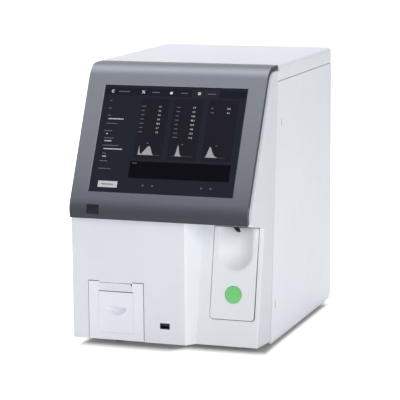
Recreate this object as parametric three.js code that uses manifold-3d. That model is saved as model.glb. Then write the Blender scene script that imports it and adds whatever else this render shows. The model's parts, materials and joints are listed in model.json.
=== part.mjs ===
// A bench-top hematology analyzer as an assembly of separate pieces.
// Millimetres, +Z up, +Y to the rear, +X to the right as seen from the front.
// Sizes are worked from the flat left half of the front face, which lies at Y = 0, and from
// the floor at Z = 0. The last lines move the whole to the centre of its footprint.

import * as THREE from 'three';
import { mergeVertices } from 'three/addons/utils/BufferGeometryUtils.js';
import Module from 'manifold-3d';

// Whole body
const roofStep = 1;
const coverSkirt = 23;
const sidePanelFloorGap = 4;
const frontCoverFloorGap = 12;
const frontCoverSeamFloorGap = 7.5;
const seamFootDepth = 73;
const seamBezelGap = 10.3;
const frontTaperShare = 0.0204;
const coverWall = 3;
const sheetWall = 2;
const seat = 0.3;
const seamGap = 0.6;
const insertGap = 0.9;
const overrun = 20;
const frontEdgeRadius = 2;
const roofEdgeRadius = 6;
const rearCornerRadius = 12;
const sideInset = 5;

// Slanted head and display bezel
const screenTiltDegrees = 26.9;
const screenFootOverhang = 4;
const screenWidth = 211.2;
const screenHeight = 158.4;
const bezelSideMargin = 30.4;
const bezelThickness = 7;
const bezelInset = 3.4;
const bezelTopMargin = 27.94;
const bezelTopRun = 21.27;
const bezelLip = 1.2;
const upperBendRadius = 28;
const lowerBendRadius = 35;
const lowerBendDrop = 13;
const lowerBendDegrees = 43.5;
const screenBorder = 8;
const glassThickness = 1.8;
const lcdThickness = 10;
const windowWidth = 18;
const windowHeight = 12.5;
const windowSideInset = 40.5;
const windowDrop = 25.3;

// Recess on the right with the aspiration panel
const recessTiltDegrees = 11.3;
const recessFootDepth = 16.6;
const recessEdgeInset = 60.5;
const recessEdgeRadius = 2;
const recessWallLean = 8.7;
const recessCornerRadius = 0.8;
const recessCutBelow = 4;
const panelSideInset = 41;
const panelWidth = 64.6;
const panelFootRise = 36;
const panelCornerRadius = 4;
const panelFlange = 4;
const panelFlangeThickness = 2.5;
const pocketRadius = 24.5;
const pocketButtonSpacing = 58.2;
const pocketHeadroom = 36.35;
const pocketDepth = 16;
const pocketWall = 2.5;
const probeSlotWidth = 18;
const buttonRadius = 11.9;
const buttonFootMargin = 34.8;
const buttonClearance = 0.4;
const buttonProud = 1.6;
const buttonDomeHeight = 1.2;
const buttonTravel = 2.5;
const buttonFlange = 2;
const buttonFlangeThickness = 1.5;
const buttonStemRadius = 4;
const buttonStemLength = 4;
const switchCupWall = 1.6;
const switchCupDepth = 14;
const switchPostRadius = 3;

// Thermal recorder at the lower left
const recorderSideInset = 27.1;
const recorderWidth = 82.1;
const recorderTop = 95.4;
const recorderPlate = 3;
const recorderBoxDepth = 61;
const recorderWall = 3;
const bucketFloor = 22.3;
const bucketCeiling = 66;
const bucketRearDepth = 56;
const doorInset = 15.1;
const doorWidth = 51.4;
const doorTop = 81;
const doorPlate = 3;
const doorSideGap = 0.5;
const doorBarrelRadius = 3.2;
const trunnionRadius = 1.5;
const trunnionLength = 2;
const chuteDepth = 4;
const chuteWidth = 49;
const slotOpening = 1.3;
const railDepth = 10;
const scoopWidth = 30;
const scoopHeight = 10;
const scoopDepth = 5;
const scoopHeightAboveFloor = 56;
const scoopBacking = 2;
const platenRadius = 5.5;
const platenDepth = 9;
const platenHeight = 73;
const platenShaftRadius = 2;
const platenArm = 3;
const printHeadThickness = 8;
const printHeadHeight = 13;
const rollRadius = 18.5;
const rollBoreRadius = 6;
const rollDepth = 34;

// Front data port
const portRecessGap = 29.9;
const portCentreHeight = 37;
const portWidth = 14;
const portHeight = 8;
const portDepth = 16;
const portWall = 0.9;
const portTongue = 2;

// Base, feet and sheet metal
const trayFloorGap = 10;
const trayFrontDepth = 38;
const trayFlangeHeight = 20;
const footRadius = 10;
const frontLeftFootInset = [56, 50];
const frontRightFootInset = [32, 64];
const rearFootSideInset = 36;
const rearFootInset = 45;
const midPlatePanelGap = 55;
const midPlateFrontDepth = 92;
const midPlateHeadroom = 32;
const midPlateFlange = 20;
const rearPanelInset = 5.7;
const doorSwingClearance = 0.5;

// Right side door with its pivots and quarter-turn locks
const sidePanelWall = 3;
const pivotFromRear = 2.2;
const pivotRadius = 1;
const pivotLength = 3;
const pivotHoleClearance = 0.3;
const pivotTabHeight = 6;
const pivotLeafHeight = 20;
const pivotLeafWidth = 20;
const pivotLeafThickness = 1.6;
const pivotTabRun = 2.8;
const lowerPivotHeight = 70;
const upperPivotDrop = 74;
const lockRadius = 5;
const lockShaftRadius = 2.5;
const lockShaftLength = 6;
const lockHeadThickness = 2.2;
const lockSlotWidth = 1.2;
const lockSlotDepth = 0.8;
const lowerLockInset = 17.4;
const upperLockInset = 23;
const lowerLockHeight = 56.2;
const upperLockDrop = 81.8;
const lockEarThickness = 3;
const lockEarReach = 9;
const lockEarRoot = 12;

// Cooling fan on the rear panel
const fanSideInset = 58;
const fanCentreDrop = 139;
const fanSize = 80;
const fanThickness = 25;
const fanBoreRadius = 38;
const fanHubRadius = 16;
const fanBladeReach = 36;
const fanBladeThickness = 1.6;
const fanBladeWidth = 15;
const fanBladeDegrees = 38;
const fanSpokeWidth = 4;
const fanSpokeThickness = 3;
const fanBladeCount = 7;
const guardWire = 1.8;
const guardRingRadii = [16, 27, 38];
const guardArmReach = 44;

// Power inlet with its rocker, reagent ports
const inletSideInset = 76;
const inletFootHeight = 62;
const inletFlangeWidth = 48;
const inletFlangeHeight = 58;
const inletFlangeThickness = 2;
const inletBodyInset = 2;
const inletBodyDepth = 24;
const socketWidth = 24;
const socketHeight = 16;
const socketDepth = 15;
const socketRise = 20;
const pinWidth = 2;
const pinHeight = 4;
const pinLength = 10;
const pinSpacing = 7;
const rockerRise = 44;
const rockerWidth = 13;
const rockerHeight = 18;
const rockerWellDepth = 9;
const rockerClearance = 0.6;
const rockerProud = 1.5;
const rockerTiltDegrees = 7;
const rockerDepth = 5;
const portPlateWidth = 66;
const portPlateHeight = 30;
const portPlateRise = 62;
const portPlateThickness = 3;
const nippleCount = 4;
const nippleSpacing = 15;
const nippleRadius = 3;
const nippleBarbRadius = 3.8;
const nippleReach = 7.5;
const nippleInnerReach = 8;

// Electronics
const supplyWidth = 100;
const supplySideInset = 12;
const supplyRearGap = 14.3;
const supplyLength = 130;
const supplyHeight = 42;
const supplyVentWidth = 3;
const supplyVentDepth = 2;
const supplyVentCount = 7;
const supplyVentSpacing = 12;
const supplyVentLength = 70;
const boardThickness = 1.6;
const boardFrontDepth = 170;
const boardFootHeight = 120;
const boardHeadroom = 32;
const boardRearGap = 12.3;
const standoffLength = 8;
const standoffRadius = 3;
const standoffInset = 10;
const boardChipHeight = 3;
const boardChipSize = 28;
const boardChipPlaces = [[205, 290], [250, 290], [205, 240], [300, 180], [250, 170]];
const ioBlockFoot = 150;
const ioBlockTop = 226;
const ioBlockWidth = 15;
const ioPortHeight = 13;
const ioPortDepth = 10;
const ioPortCount = 4;
const ioPortSpacing = 18;
const ioProud = 1;

// Sampling unit behind the screen
const probeDepth = 51;
const probeTipDrop = 14;
const probeRadius = 0.9;
const probeTopLift = 93;
const probeHubRadius = 4;
const probeHubHeight = 8;
const probeClearance = 0.4;
const wipeWidth = 8;
const wipeDrop = 16;
const wipeNoseRadius = 1.6;
const wipeNoseLength = 12;
const wipeNoseOffset = 4.3;
const wipeNoseDegrees = 42;
const shelfLift = 3.6;
const shelfThickness = 4;
const columnDepth = 84;
const columnThickness = 4;
const columnInnerReach = 33;
const columnOuterReach = 11;
const columnHeight = 144;
const columnShelfReach = 13;
const guideRadius = 3;
const guideReach = 13;
const guideDepth = 77;
const liftScrewReach = 26;
const liftScrewRadius = 2.5;
const liftBlockHeight = 20;
const liftBlockWidth = 26;
const liftBlockDepth = 14;
const liftArmWidth = 12;
const motorSize = 20;
const motorLength = 26;
const railWidth = 12;
const railThickness = 8;
const railLift = 66;
const railFrontDepth = 96;
const railLength = 140;
const shuttleBlockLength = 30;
const shuttleBlockThickness = 12;
const shuttleJaw = 4;
const shuttleScrewLift = 96;
const shuttleScrewRadius = 3;
const shuttleScrewReach = 39;
const shuttleNutSize = 12;
const largeMotorSize = 28;
const largeMotorLength = 30;

// Baths, pumps and valves
const bathRadius = 14;
const bathWall = 1.5;
const bathHeight = 52;
const bathRim = 3;
const bathRimThickness = 2;
const bathFunnel = 12;
const bathOutletRadius = 3;
const bathOutletLength = 8;
const bathShelfHeight = 148;
const bathShelfThickness = 3;
const bathFrontDepth = 115;
const bathSpacing = 38;
const bathShelfOuterReach = 27;
const bathShelfMargin = 22;
const bathWebHeight = 24;
const syringeRailGap = 34;
const syringeRearGap = 30.3;
const syringeLength = 84;
const syringeFoot = 112;
const syringeHeadroom = 50;
const syringeReach = 56;
const syringeSheet = 4;
const syringeAxisReach = 44;
const largeBarrelRadius = 10;
const largeBoreRadius = 8;
const smallBarrelRadius = 7;
const smallBoreRadius = 5;
const barrelFoot = 222;
const barrelTopGap = 12;
const largeSyringeInset = 20;
const smallSyringeInset = 64;
const yokeFoot = 134;
const yokeThickness = 10;
const yokeMargin = 8;
const plungerRodRadius = 3;
const pistonHeight = 8;
const pistonClearance = 0.3;
const pistonFoot = 226;
const syringeScrewReach = 18;
const syringeScrewInset = 42;
const syringeScrewRadius = 3;
const valveReach = 24;
const valveWidth = 52;
const valveFrontDepth = 96;
const valveLength = 106;
const valveBlockHeight = 22;
const solenoidRadius = 8;
const solenoidHeight = 24;
const solenoidCount = 5;
const solenoidSpacing = 20;
const pumpReach = 26;
const pumpFrontDepth = 214;
const pumpMotorRadius = 18;
const pumpMotorLength = 34;
const pumpHeadWidth = 42;
const pumpHeadLength = 28;
const pumpHeadHeight = 44;
const pumpPortRadius = 3;
const pumpPortLength = 8;

// How finely round shapes are stepped
const roundSteps = 24;
const smallSteps = 12;
const bendSteps = 8;
const cornerSteps = 4;

const looks = {
  whitePlastic: { color: 0xdde0e8, roughness: 0.45, metalness: 0 },
  greyMetallic: { color: 0x7d8087, roughness: 0.35, metalness: 0.4 },
  blackPlastic: { color: 0x17191d, roughness: 0.5, metalness: 0 },
  darkWindow: { color: 0x30333a, roughness: 0.2, metalness: 0 },
  glass: { color: 0x1b1d26, roughness: 0.08, metalness: 0 },
  clearGlass: { color: 0xdfe8ea, roughness: 0.05, metalness: 0 },
  greenPlastic: { color: 0x6fc873, roughness: 0.4, metalness: 0 },
  steel: { color: 0xb9bcc0, roughness: 0.35, metalness: 0.9 },
  zincSheet: { color: 0xa9adb1, roughness: 0.45, metalness: 0.8 },
  rubber: { color: 0x141414, roughness: 0.85, metalness: 0 },
  paper: { color: 0xf5f4ee, roughness: 0.9, metalness: 0 },
  circuitBoard: { color: 0x1f5b3a, roughness: 0.5, metalness: 0 },
  aluminium: { color: 0xc4c7ca, roughness: 0.4, metalness: 0.9 },
  acrylic: { color: 0xd9e6ea, roughness: 0.1, metalness: 0 },
};

const wasm = await Module();
wasm.setup();

const analyzer = new THREE.Group();
const bodyWidth = screenWidth + bezelSideMargin * 2;
const halfWidth = bodyWidth / 2;
const syringeFrontDepth = railFrontDepth + railLength + syringeRailGap;
const rearPanelDepth = syringeFrontDepth + syringeLength + syringeRearGap;
const bodyDepth = rearPanelDepth + rearPanelInset;
const axisX = new THREE.Vector3(1, 0, 0);

// Solids

function solidOf(geometry) {
  const plain = geometry.clone();
  plain.deleteAttribute('normal');
  plain.deleteAttribute('uv');
  const merged = mergeVertices(plain);
  const corners = merged.index.array;
  const kept = [];
  for (let i = 0; i < corners.length; i += 3) {
    const [a, b, c] = [corners[i], corners[i + 1], corners[i + 2]];
    if (a !== b && b !== c && c !== a) kept.push(a, b, c);
  }
  const vertProperties = new Float32Array(merged.attributes.position.array);
  return new wasm.Manifold(new wasm.Mesh({ numProp: 3, vertProperties, triVerts: new Uint32Array(kept) }));
}

function geometryOf(solid) {
  const mesh = solid.getMesh();
  const geometry = new THREE.BufferGeometry();
  geometry.setAttribute('position', new THREE.BufferAttribute(new Float32Array(mesh.vertProperties), 3));
  geometry.setIndex(new THREE.BufferAttribute(new Uint32Array(mesh.triVerts), 1));
  geometry.computeVertexNormals();
  return geometry;
}

function addPiece(name, solid, look, parent = analyzer) {
  const piece = new THREE.Mesh(geometryOf(solid), new THREE.MeshStandardMaterial(looks[look]));
  piece.name = name;
  parent.add(piece);
  return piece;
}

function block(x0, x1, y0, y1, z0, z1) {
  const geometry = new THREE.BoxGeometry(x1 - x0, y1 - y0, z1 - z0);
  return solidOf(geometry.translate((x0 + x1) / 2, (y0 + y1) / 2, (z0 + z1) / 2));
}

function cylinder(radius, length, steps) {
  return new THREE.CylinderGeometry(radius, radius, length, steps);
}

function rodX(y, z, radius, x0, x1, steps = smallSteps) {
  return solidOf(cylinder(radius, x1 - x0, steps).rotateZ(Math.PI / 2).translate((x0 + x1) / 2, y, z));
}

function rodY(x, z, radius, y0, y1, steps = smallSteps) {
  return solidOf(cylinder(radius, y1 - y0, steps).translate(x, (y0 + y1) / 2, z));
}

function rodZ(x, y, radius, z0, z1, steps = smallSteps) {
  return solidOf(cylinder(radius, z1 - z0, steps).rotateX(Math.PI / 2).translate(x, y, (z0 + z1) / 2));
}

function extruded(shape, depth) {
  return new THREE.ExtrudeGeometry(shape, { depth, bevelEnabled: false, curveSegments: cornerSteps });
}

// A prism along X from an outline of (y, z) points
function prismX(points, x0, x1) {
  const turn = new THREE.Matrix4().makeBasis(
    new THREE.Vector3(0, 1, 0), new THREE.Vector3(0, 0, 1), new THREE.Vector3(1, 0, 0));
  return solidOf(extruded(new THREE.Shape(points), x1 - x0).applyMatrix4(turn).translate(x0, 0, 0));
}

// A prism along Y from an outline of (x, z) points
function prismY(shape, y0, y1) {
  return solidOf(extruded(shape, y1 - y0).rotateX(Math.PI / 2).translate(0, y1, 0));
}

// A prism along Z from an outline of (x, y) points
function prismZ(points, z0, z1) {
  return solidOf(extruded(new THREE.Shape(points), z1 - z0).translate(0, 0, z0));
}

// A solid between two outlines of (x, y) points with as many points each
function loft(lowPoints, z0, highPoints, z1) {
  const count = lowPoints.length;
  const positions = [];
  for (const point of lowPoints) positions.push(point.x, point.y, z0);
  for (const point of highPoints) positions.push(point.x, point.y, z1);
  const indices = [];
  for (const [a, b, c] of THREE.ShapeUtils.triangulateShape(lowPoints, [])) {
    indices.push(a, c, b);
    indices.push(a + count, b + count, c + count);
  }
  for (let i = 0; i < count; i += 1) {
    const next = (i + 1) % count;
    indices.push(i, next, next + count);
    indices.push(i, next + count, i + count);
  }
  const geometry = new THREE.BufferGeometry();
  geometry.setAttribute('position', new THREE.Float32BufferAttribute(positions, 3));
  geometry.setIndex(indices);
  return solidOf(geometry);
}

function vec(x, y) {
  return new THREE.Vector2(x, y);
}

function arc(centre, radius, fromAngle, toAngle, steps) {
  const points = [];
  for (let i = 0; i <= steps; i += 1) {
    const angle = fromAngle + (toAngle - fromAngle) * i / steps;
    points.push(vec(centre.x + radius * Math.cos(angle), centre.y + radius * Math.sin(angle)));
  }
  return points;
}

// The whole head narrows towards the front, so its pieces are drawn straight and then drawn in
function drawnIn(solid) {
  const geometry = geometryOf(solid);
  const position = geometry.attributes.position;
  for (let i = 0; i < position.count; i += 1) {
    const inset = frontTaperShare * (seamTopDepth - position.getY(i));
    position.setX(i, position.getX(i) * (1 - inset / halfWidth));
  }
  return solidOf(geometry);
}

function placed(solid, frame) {
  return solidOf(geometryOf(solid).applyMatrix4(frame.matrix));
}

// Lines that many pieces follow

const tilt = THREE.MathUtils.degToRad(screenTiltDegrees);
const slopeUp = vec(Math.sin(tilt), Math.cos(tilt));
const slopeOut = vec(-Math.cos(tilt), Math.sin(tilt));
const outAngle = Math.PI - tilt;
const lipAngle = outAngle + THREE.MathUtils.degToRad(lowerBendDegrees);
const recessTilt = THREE.MathUtils.degToRad(recessTiltDegrees);

// Heights, from the sample port up: the recess's ceiling carries the screen, and that the roof
const buttonRise = panelFootRise + buttonFootMargin;
const pocketCentreRise = buttonRise + pocketButtonSpacing;
const ceilingRise = pocketCentreRise + pocketHeadroom;
const lipFromScreen = vec(lowerBendRadius * Math.cos(lipAngle), lowerBendRadius * Math.sin(lipAngle))
  .addScaledVector(slopeUp, -lowerBendDrop)
  .addScaledVector(slopeOut, -lowerBendRadius);
const lipDepth = lipFromScreen.x - screenFootOverhang;
const lipHeight = frontCoverFloorGap
  + (ceilingRise - (lipDepth - recessFootDepth) * Math.sin(recessTilt)) / Math.cos(recessTilt);
const screenFoot = vec(-screenFootOverhang, lipHeight - lipFromScreen.y);
const bezelTopHeight = screenFoot.y + screenHeight * slopeUp.y + bezelTopMargin;
const roofHeight = bezelTopHeight + roofStep;
const coverSeamHeight = roofHeight - coverSkirt;
const midPlateTop = roofHeight - midPlateHeadroom;
const boardTop = midPlateTop - boardHeadroom;
const syringeTop = midPlateTop - syringeHeadroom;
const fanCentreHeight = roofHeight - fanCentreDrop;
const shelfHeight = lipHeight + shelfLift;
const probeTipHeight = shelfHeight - probeTipDrop;
const probeTopHeight = shelfHeight + probeTopLift;
const wipeFootHeight = shelfHeight - wipeDrop;
const columnTop = shelfHeight + columnHeight;
const railHeight = shelfHeight + railLift;
const shuttleScrewHeight = shelfHeight + shuttleScrewLift;

// Depths, from the screen's upper bend and from the rear
const bendRise = bezelTopHeight - upperBendRadius - screenFoot.y;
const upperBendCentre = vec(
  screenFoot.x + (upperBendRadius + slopeUp.x * bendRise) / slopeUp.y, bezelTopHeight - upperBendRadius);
const bezelRearDepth = upperBendCentre.x + bezelTopRun;
const seamTopDepth = bezelRearDepth - seamBezelGap;
const boardRearDepth = rearPanelDepth - boardRearGap;
const supplyFrontDepth = rearPanelDepth - supplyRearGap - supplyLength;
const largeSyringeDepth = syringeFrontDepth + largeSyringeInset;
const smallSyringeDepth = syringeFrontDepth + smallSyringeInset;
const syringeScrewDepth = syringeFrontDepth + syringeScrewInset;

// Places across, from the two sides and from the sample port
const panelCentreX = halfWidth - panelSideInset;
const recessEdgeX = panelCentreX - recessEdgeInset;
const portCentreX = recessEdgeX - portRecessGap;
const recorderLeft = -halfWidth + recorderSideInset;
const doorLeft = recorderLeft + doorInset;
const windowCentreX = -halfWidth + windowSideInset;
const fanCentreX = -halfWidth + fanSideInset;
const inletCentreX = -halfWidth + inletSideInset;
const supplyLeft = -halfWidth + supplySideInset;
const midPlateX = panelCentreX - midPlatePanelGap;
const portPlateLeft = midPlateX;
const syringeAxisX = midPlateX + syringeAxisReach;
const syringeScrewX = midPlateX + syringeScrewReach;
const valveLeft = midPlateX + valveReach;
const pumpLeft = midPlateX + pumpReach;
const columnLeft = panelCentreX - columnInnerReach;
const columnRight = panelCentreX + columnOuterReach;
const guideX = panelCentreX - guideReach;
const liftScrewX = panelCentreX - liftScrewReach;
const shuttleScrewX = panelCentreX - shuttleScrewReach;
const bathShelfLeft = midPlateX + sheetWall + seat;
const bathShelfRight = panelCentreX + bathShelfOuterReach;
const footPlaces = {
  frontLeft: [-halfWidth + frontLeftFootInset[0], frontLeftFootInset[1]],
  frontRight: [halfWidth - frontRightFootInset[0], frontRightFootInset[1]],
  rearLeft: [-halfWidth + rearFootSideInset, bodyDepth - rearFootInset],
  rearRight: [halfWidth - rearFootSideInset, bodyDepth - rearFootInset],
};
const pivotHeights = { lower: lowerPivotHeight, upper: roofHeight - upperPivotDrop };
const upperLockHeight = roofHeight - upperLockDrop;
const lockPlaces = {
  lower: [seamDepthAt(lowerLockHeight) + lowerLockInset, lowerLockHeight],
  upper: [seamDepthAt(upperLockHeight) + upperLockInset, upperLockHeight],
};

const lowerBendCentre = screenFoot.clone()
  .addScaledVector(slopeUp, -lowerBendDrop)
  .addScaledVector(slopeOut, -lowerBendRadius);
const lip = vec(lowerBendCentre.x + lowerBendRadius * Math.cos(lipAngle),
  lowerBendCentre.y + lowerBendRadius * Math.sin(lipAngle));

// The head's outline in (y, z), drawn in by an inset, from the lip over the slope to the rear end
function headLine(inset, rearDepth) {
  return [
    ...arc(lowerBendCentre, lowerBendRadius - inset, lipAngle, outAngle, bendSteps),
    ...arc(upperBendCentre, upperBendRadius - inset, outAngle, Math.PI / 2, bendSteps),
    vec(rearDepth, bezelTopHeight - inset),
  ];
}

function seamDepthAt(height) {
  const rise = coverSeamHeight - sidePanelFloorGap;
  return seamFootDepth + (seamTopDepth - seamFootDepth) * (height - sidePanelFloorGap) / rise;
}

// Tilted frames: x across, y up the slope, z out of the surface
function tiltedFrame(angle, y, z) {
  const frame = new THREE.Group();
  const up = new THREE.Vector3(0, Math.sin(angle), Math.cos(angle));
  const out = new THREE.Vector3(0, -Math.cos(angle), Math.sin(angle));
  frame.quaternion.setFromRotationMatrix(new THREE.Matrix4().makeBasis(axisX, up, out));
  frame.position.set(0, y, z);
  frame.updateMatrix();
  analyzer.add(frame);
  return frame;
}

const displayFrame = tiltedFrame(tilt, screenFoot.x, screenFoot.y);
const panelFrame = tiltedFrame(recessTilt, recessFootDepth, frontCoverFloorGap);

// Front cover

// The recess's plan at one height, as (x, y) points, with its walls drawn out by a growth.
// The left wall leans out by the same width at any height, so its corner stands upright.
function recessPlan(height, growth) {
  const plainDepth = recessFootDepth + Math.tan(recessTilt) * (height - frontCoverFloorGap);
  const depth = plainDepth + growth / Math.cos(recessTilt);
  const draft = Math.atan2(recessWallLean, plainDepth);
  const edgeRadius = recessEdgeRadius + growth;
  const edgeCentre = vec(recessEdgeX, recessEdgeRadius);
  const edge = arc(edgeCentre, edgeRadius, -Math.PI / 2, -draft, cornerSteps);
  const cornerRadius = recessCornerRadius;
  const wallEndDepth = depth - cornerRadius + cornerRadius * Math.sin(draft);
  const wallEndX = edge[cornerSteps].x + (wallEndDepth - edge[cornerSteps].y) * Math.tan(draft);
  const cornerCentre = vec(wallEndX + cornerRadius * Math.cos(draft), depth - cornerRadius);
  const corner = arc(cornerCentre, cornerRadius, Math.PI - draft, Math.PI / 2, cornerSteps);
  return { edge, corner, depth };
}

function recessOutline(height) {
  const { edge, corner, depth } = recessPlan(height, 0);
  const outer = vec(halfWidth - frontEdgeRadius, depth + frontEdgeRadius);
  const side = arc(outer, frontEdgeRadius, -Math.PI / 2, 0, cornerSteps);
  const far = halfWidth + overrun;
  return [vec(recessEdgeX, -overrun * 2), vec(far, -overrun * 2), vec(far, depth + frontEdgeRadius),
    ...side.reverse(), ...corner.reverse(), ...edge.reverse()];
}

function recessCoreOutline(height) {
  const { corner, depth } = recessPlan(height, coverWall);
  const left = recessEdgeX - coverWall;
  const far = halfWidth + overrun;
  return [vec(left, -overrun * 2), vec(far, -overrun * 2), vec(far, depth),
    ...corner.map((point) => vec(point.x - coverWall * 2, point.y)).reverse(),
    vec(left, recessEdgeRadius)];
}

function underCeiling(rise) {
  const below = block(-halfWidth - overrun, halfWidth + overrun, -bodyDepth, rise, -bodyDepth, bodyDepth);
  return placed(below, panelFrame);
}

function frontCover() {
  const inset = bezelThickness + seat;
  const rearTop = seamDepthAt(bezelTopHeight - inset);
  const skin = headLine(inset, rearTop);
  const outer = prismX([vec(0, frontCoverFloorGap),
    vec(seamDepthAt(frontCoverSeamFloorGap), frontCoverSeamFloorGap), skin.at(-1),
    ...skin.slice(0, -1).reverse(), vec(0, lip.y)], -halfWidth, halfWidth);
  const bottomRise = (frontCoverFloorGap - frontCoverSeamFloorGap) / seamFootDepth;
  const core = headLine(inset + coverWall, rearTop + overrun);
  const trayEdge = trayFrontDepth - seat;
  const bottomAtTray = frontCoverFloorGap - bottomRise * trayEdge;
  const inner = prismX([vec(coverWall, frontCoverFloorGap + coverWall), vec(trayEdge, bottomAtTray + coverWall),
    vec(trayEdge, -overrun), vec(bodyDepth, -overrun), core.at(-1),
    ...core.slice(0, -1).reverse(), vec(coverWall, lip.y + coverWall)],
  -halfWidth + coverWall, halfWidth - coverWall);
  const low = frontCoverFloorGap - recessCutBelow;
  const high = screenFoot.y;
  const recess = loft(recessOutline(low), low, recessOutline(high), high)
    .intersect(underCeiling(ceilingRise));
  const recessCore = loft(recessCoreOutline(low), low, recessCoreOutline(high), high)
    .intersect(underCeiling(ceilingRise + coverWall));
  const corner = prismZ([vec(-halfWidth - overrun, -overrun), vec(-halfWidth + frontEdgeRadius, -overrun),
    ...arc(vec(-halfWidth + frontEdgeRadius, frontEdgeRadius), frontEdgeRadius, -Math.PI / 2, -Math.PI, cornerSteps),
    vec(-halfWidth - overrun, frontEdgeRadius)], -overrun, lip.y);
  const shell = outer.subtract(recess).subtract(corner).subtract(inner.subtract(recessCore));
  let cover = drawnIn(shell);
  cover = cover.subtract(recorderCut()).subtract(portCut()).subtract(panelCut());
  cover = cover.subtract(displayCut()).subtract(probeSlot());
  for (const [depth, height] of Object.values(lockPlaces)) cover = cover.add(lockEar(depth, height));
  return cover;
}

function recorderCut() {
  return block(recorderLeft - insertGap, recorderLeft + recorderWidth + insertGap,
    -overrun, coverWall + seat, -overrun, recorderTop + insertGap)
    .add(block(doorLeft - recorderWall * 2, doorLeft + doorWidth + recorderWall * 2,
      0, recorderBoxDepth + seat, bucketFloor - recorderWall - seat, recorderTop));
}

function portCut() {
  return block(portCentreX - portWidth / 2 - seat, portCentreX + portWidth / 2 + seat, -overrun, overrun,
    portCentreHeight - portHeight / 2 - seat, portCentreHeight + portHeight / 2 + seat);
}

function displayCut() {
  const reach = screenWidth / 2 + screenBorder + seat * 2;
  const cut = block(-reach, reach, -screenBorder - seat * 2, screenHeight + screenBorder + seat * 2,
    -bezelThickness - lcdThickness - coverWall, 0);
  return placed(cut, displayFrame);
}

// The panel's outline, in its tilted frame, grown by a clearance
function panelOutline(growth, top) {
  const half = panelWidth / 2 + growth;
  const radius = panelCornerRadius + growth;
  const foot = panelFootRise - growth;
  return [
    ...arc(vec(panelCentreX - half + radius, foot + radius), radius, Math.PI, Math.PI * 3 / 2, cornerSteps),
    ...arc(vec(panelCentreX + half - radius, foot + radius), radius, -Math.PI / 2, 0, cornerSteps),
    vec(panelCentreX + half, top), vec(panelCentreX - half, top)];
}

function panelCut() {
  return placed(prismZ(panelOutline(insertGap, ceilingRise), -coverWall - overrun, overrun), panelFrame);
}

function probeSlot() {
  const half = probeSlotWidth / 2;
  return block(panelCentreX - half, panelCentreX + half, probeDepth - wipeWidth,
    probeDepth + overrun * 2, probeTipHeight - overrun, shelfHeight - shelfThickness - seat);
}

function lockEar(depth, height) {
  const earOuter = halfWidth - sidePanelWall - seat * 2;
  const earInner = earOuter - lockEarThickness;
  const seam = seamDepthAt(height);
  const rear = depth + lockEarReach;
  const root = block(earInner, halfWidth - coverWall / 2, seam - lockEarRoot, seam - coverWall,
    height - lockEarReach, height + lockEarReach);
  const ear = block(earInner, earOuter, seam - lockEarRoot, rear, height - lockEarReach, height + lockEarReach);
  const hole = rodX(depth, height, lockShaftRadius + seat, earInner - overrun, earOuter + overrun);
  return root.add(ear).subtract(hole);
}

// Display bezel with the window, the glass and the screen module

function windowBox(gap) {
  const half = windowWidth / 2 - gap;
  const foot = -windowDrop - windowHeight / 2 + gap;
  return placed(block(windowCentreX - half, windowCentreX + half, foot, foot + windowHeight - gap * 2,
    -overrun, overrun), displayFrame);
}

function bezelBand() {
  const outline = [...headLine(0, bezelRearDepth), ...headLine(bezelThickness, bezelRearDepth).reverse()];
  return drawnIn(prismX(outline, -halfWidth + bezelInset, halfWidth - bezelInset));
}

function displayBezel() {
  const half = screenWidth / 2;
  const chamfer = bezelLip;
  const wide = [vec(-half - chamfer, -chamfer), vec(half + chamfer, -chamfer),
    vec(half + chamfer, screenHeight + chamfer), vec(-half - chamfer, screenHeight + chamfer)];
  const narrow = [vec(-half, 0), vec(half, 0), vec(half, screenHeight), vec(-half, screenHeight)];
  const opening = loft(narrow, -chamfer, wide, 0).add(prismZ(wide, 0, overrun))
    .add(prismZ(narrow, -bezelThickness, -chamfer));
  const reach = half + screenBorder + seat;
  const rebate = block(-reach, reach, -screenBorder - seat, screenHeight + screenBorder + seat,
    -bezelThickness - overrun, -bezelLip - seat);
  return bezelBand().subtract(placed(opening.add(rebate), displayFrame)).subtract(windowBox(0));
}

function displayPlate(front, rear) {
  const reach = screenWidth / 2 + screenBorder;
  return block(-reach, reach, -screenBorder, screenHeight + screenBorder, -rear, -front);
}

function makeDisplay() {
  const glassFront = bezelLip + seat * 2;
  const lcdFront = glassFront + glassThickness + seat;
  addPiece('display_bezel', displayBezel(), 'greyMetallic');
  addPiece('status_window', bezelBand().intersect(windowBox(seat)), 'darkWindow');
  addPiece('touch_glass', displayPlate(glassFront, glassFront + glassThickness), 'glass', displayFrame);
  addPiece('lcd_module', displayPlate(lcdFront, lcdFront + lcdThickness), 'steel', displayFrame);
}

// Aspiration panel, start button and its switch, all in the panel's tilted frame

// A half capsule with its round end down, flattened to a depth
function pocketSolid(growth) {
  const radius = pocketRadius + growth;
  const top = ceilingRise - pocketCentreRise + overrun;
  const profile = arc(vec(0, 0), radius, -Math.PI / 2, 0, bendSteps);
  profile[0].x = 0;
  const lathe = new THREE.LatheGeometry([...profile, vec(radius, top), vec(0, top)], roundSteps);
  lathe.scale(1, 1, (pocketDepth + growth) / radius);
  return solidOf(lathe.translate(panelCentreX, pocketCentreRise, 0));
}

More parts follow.
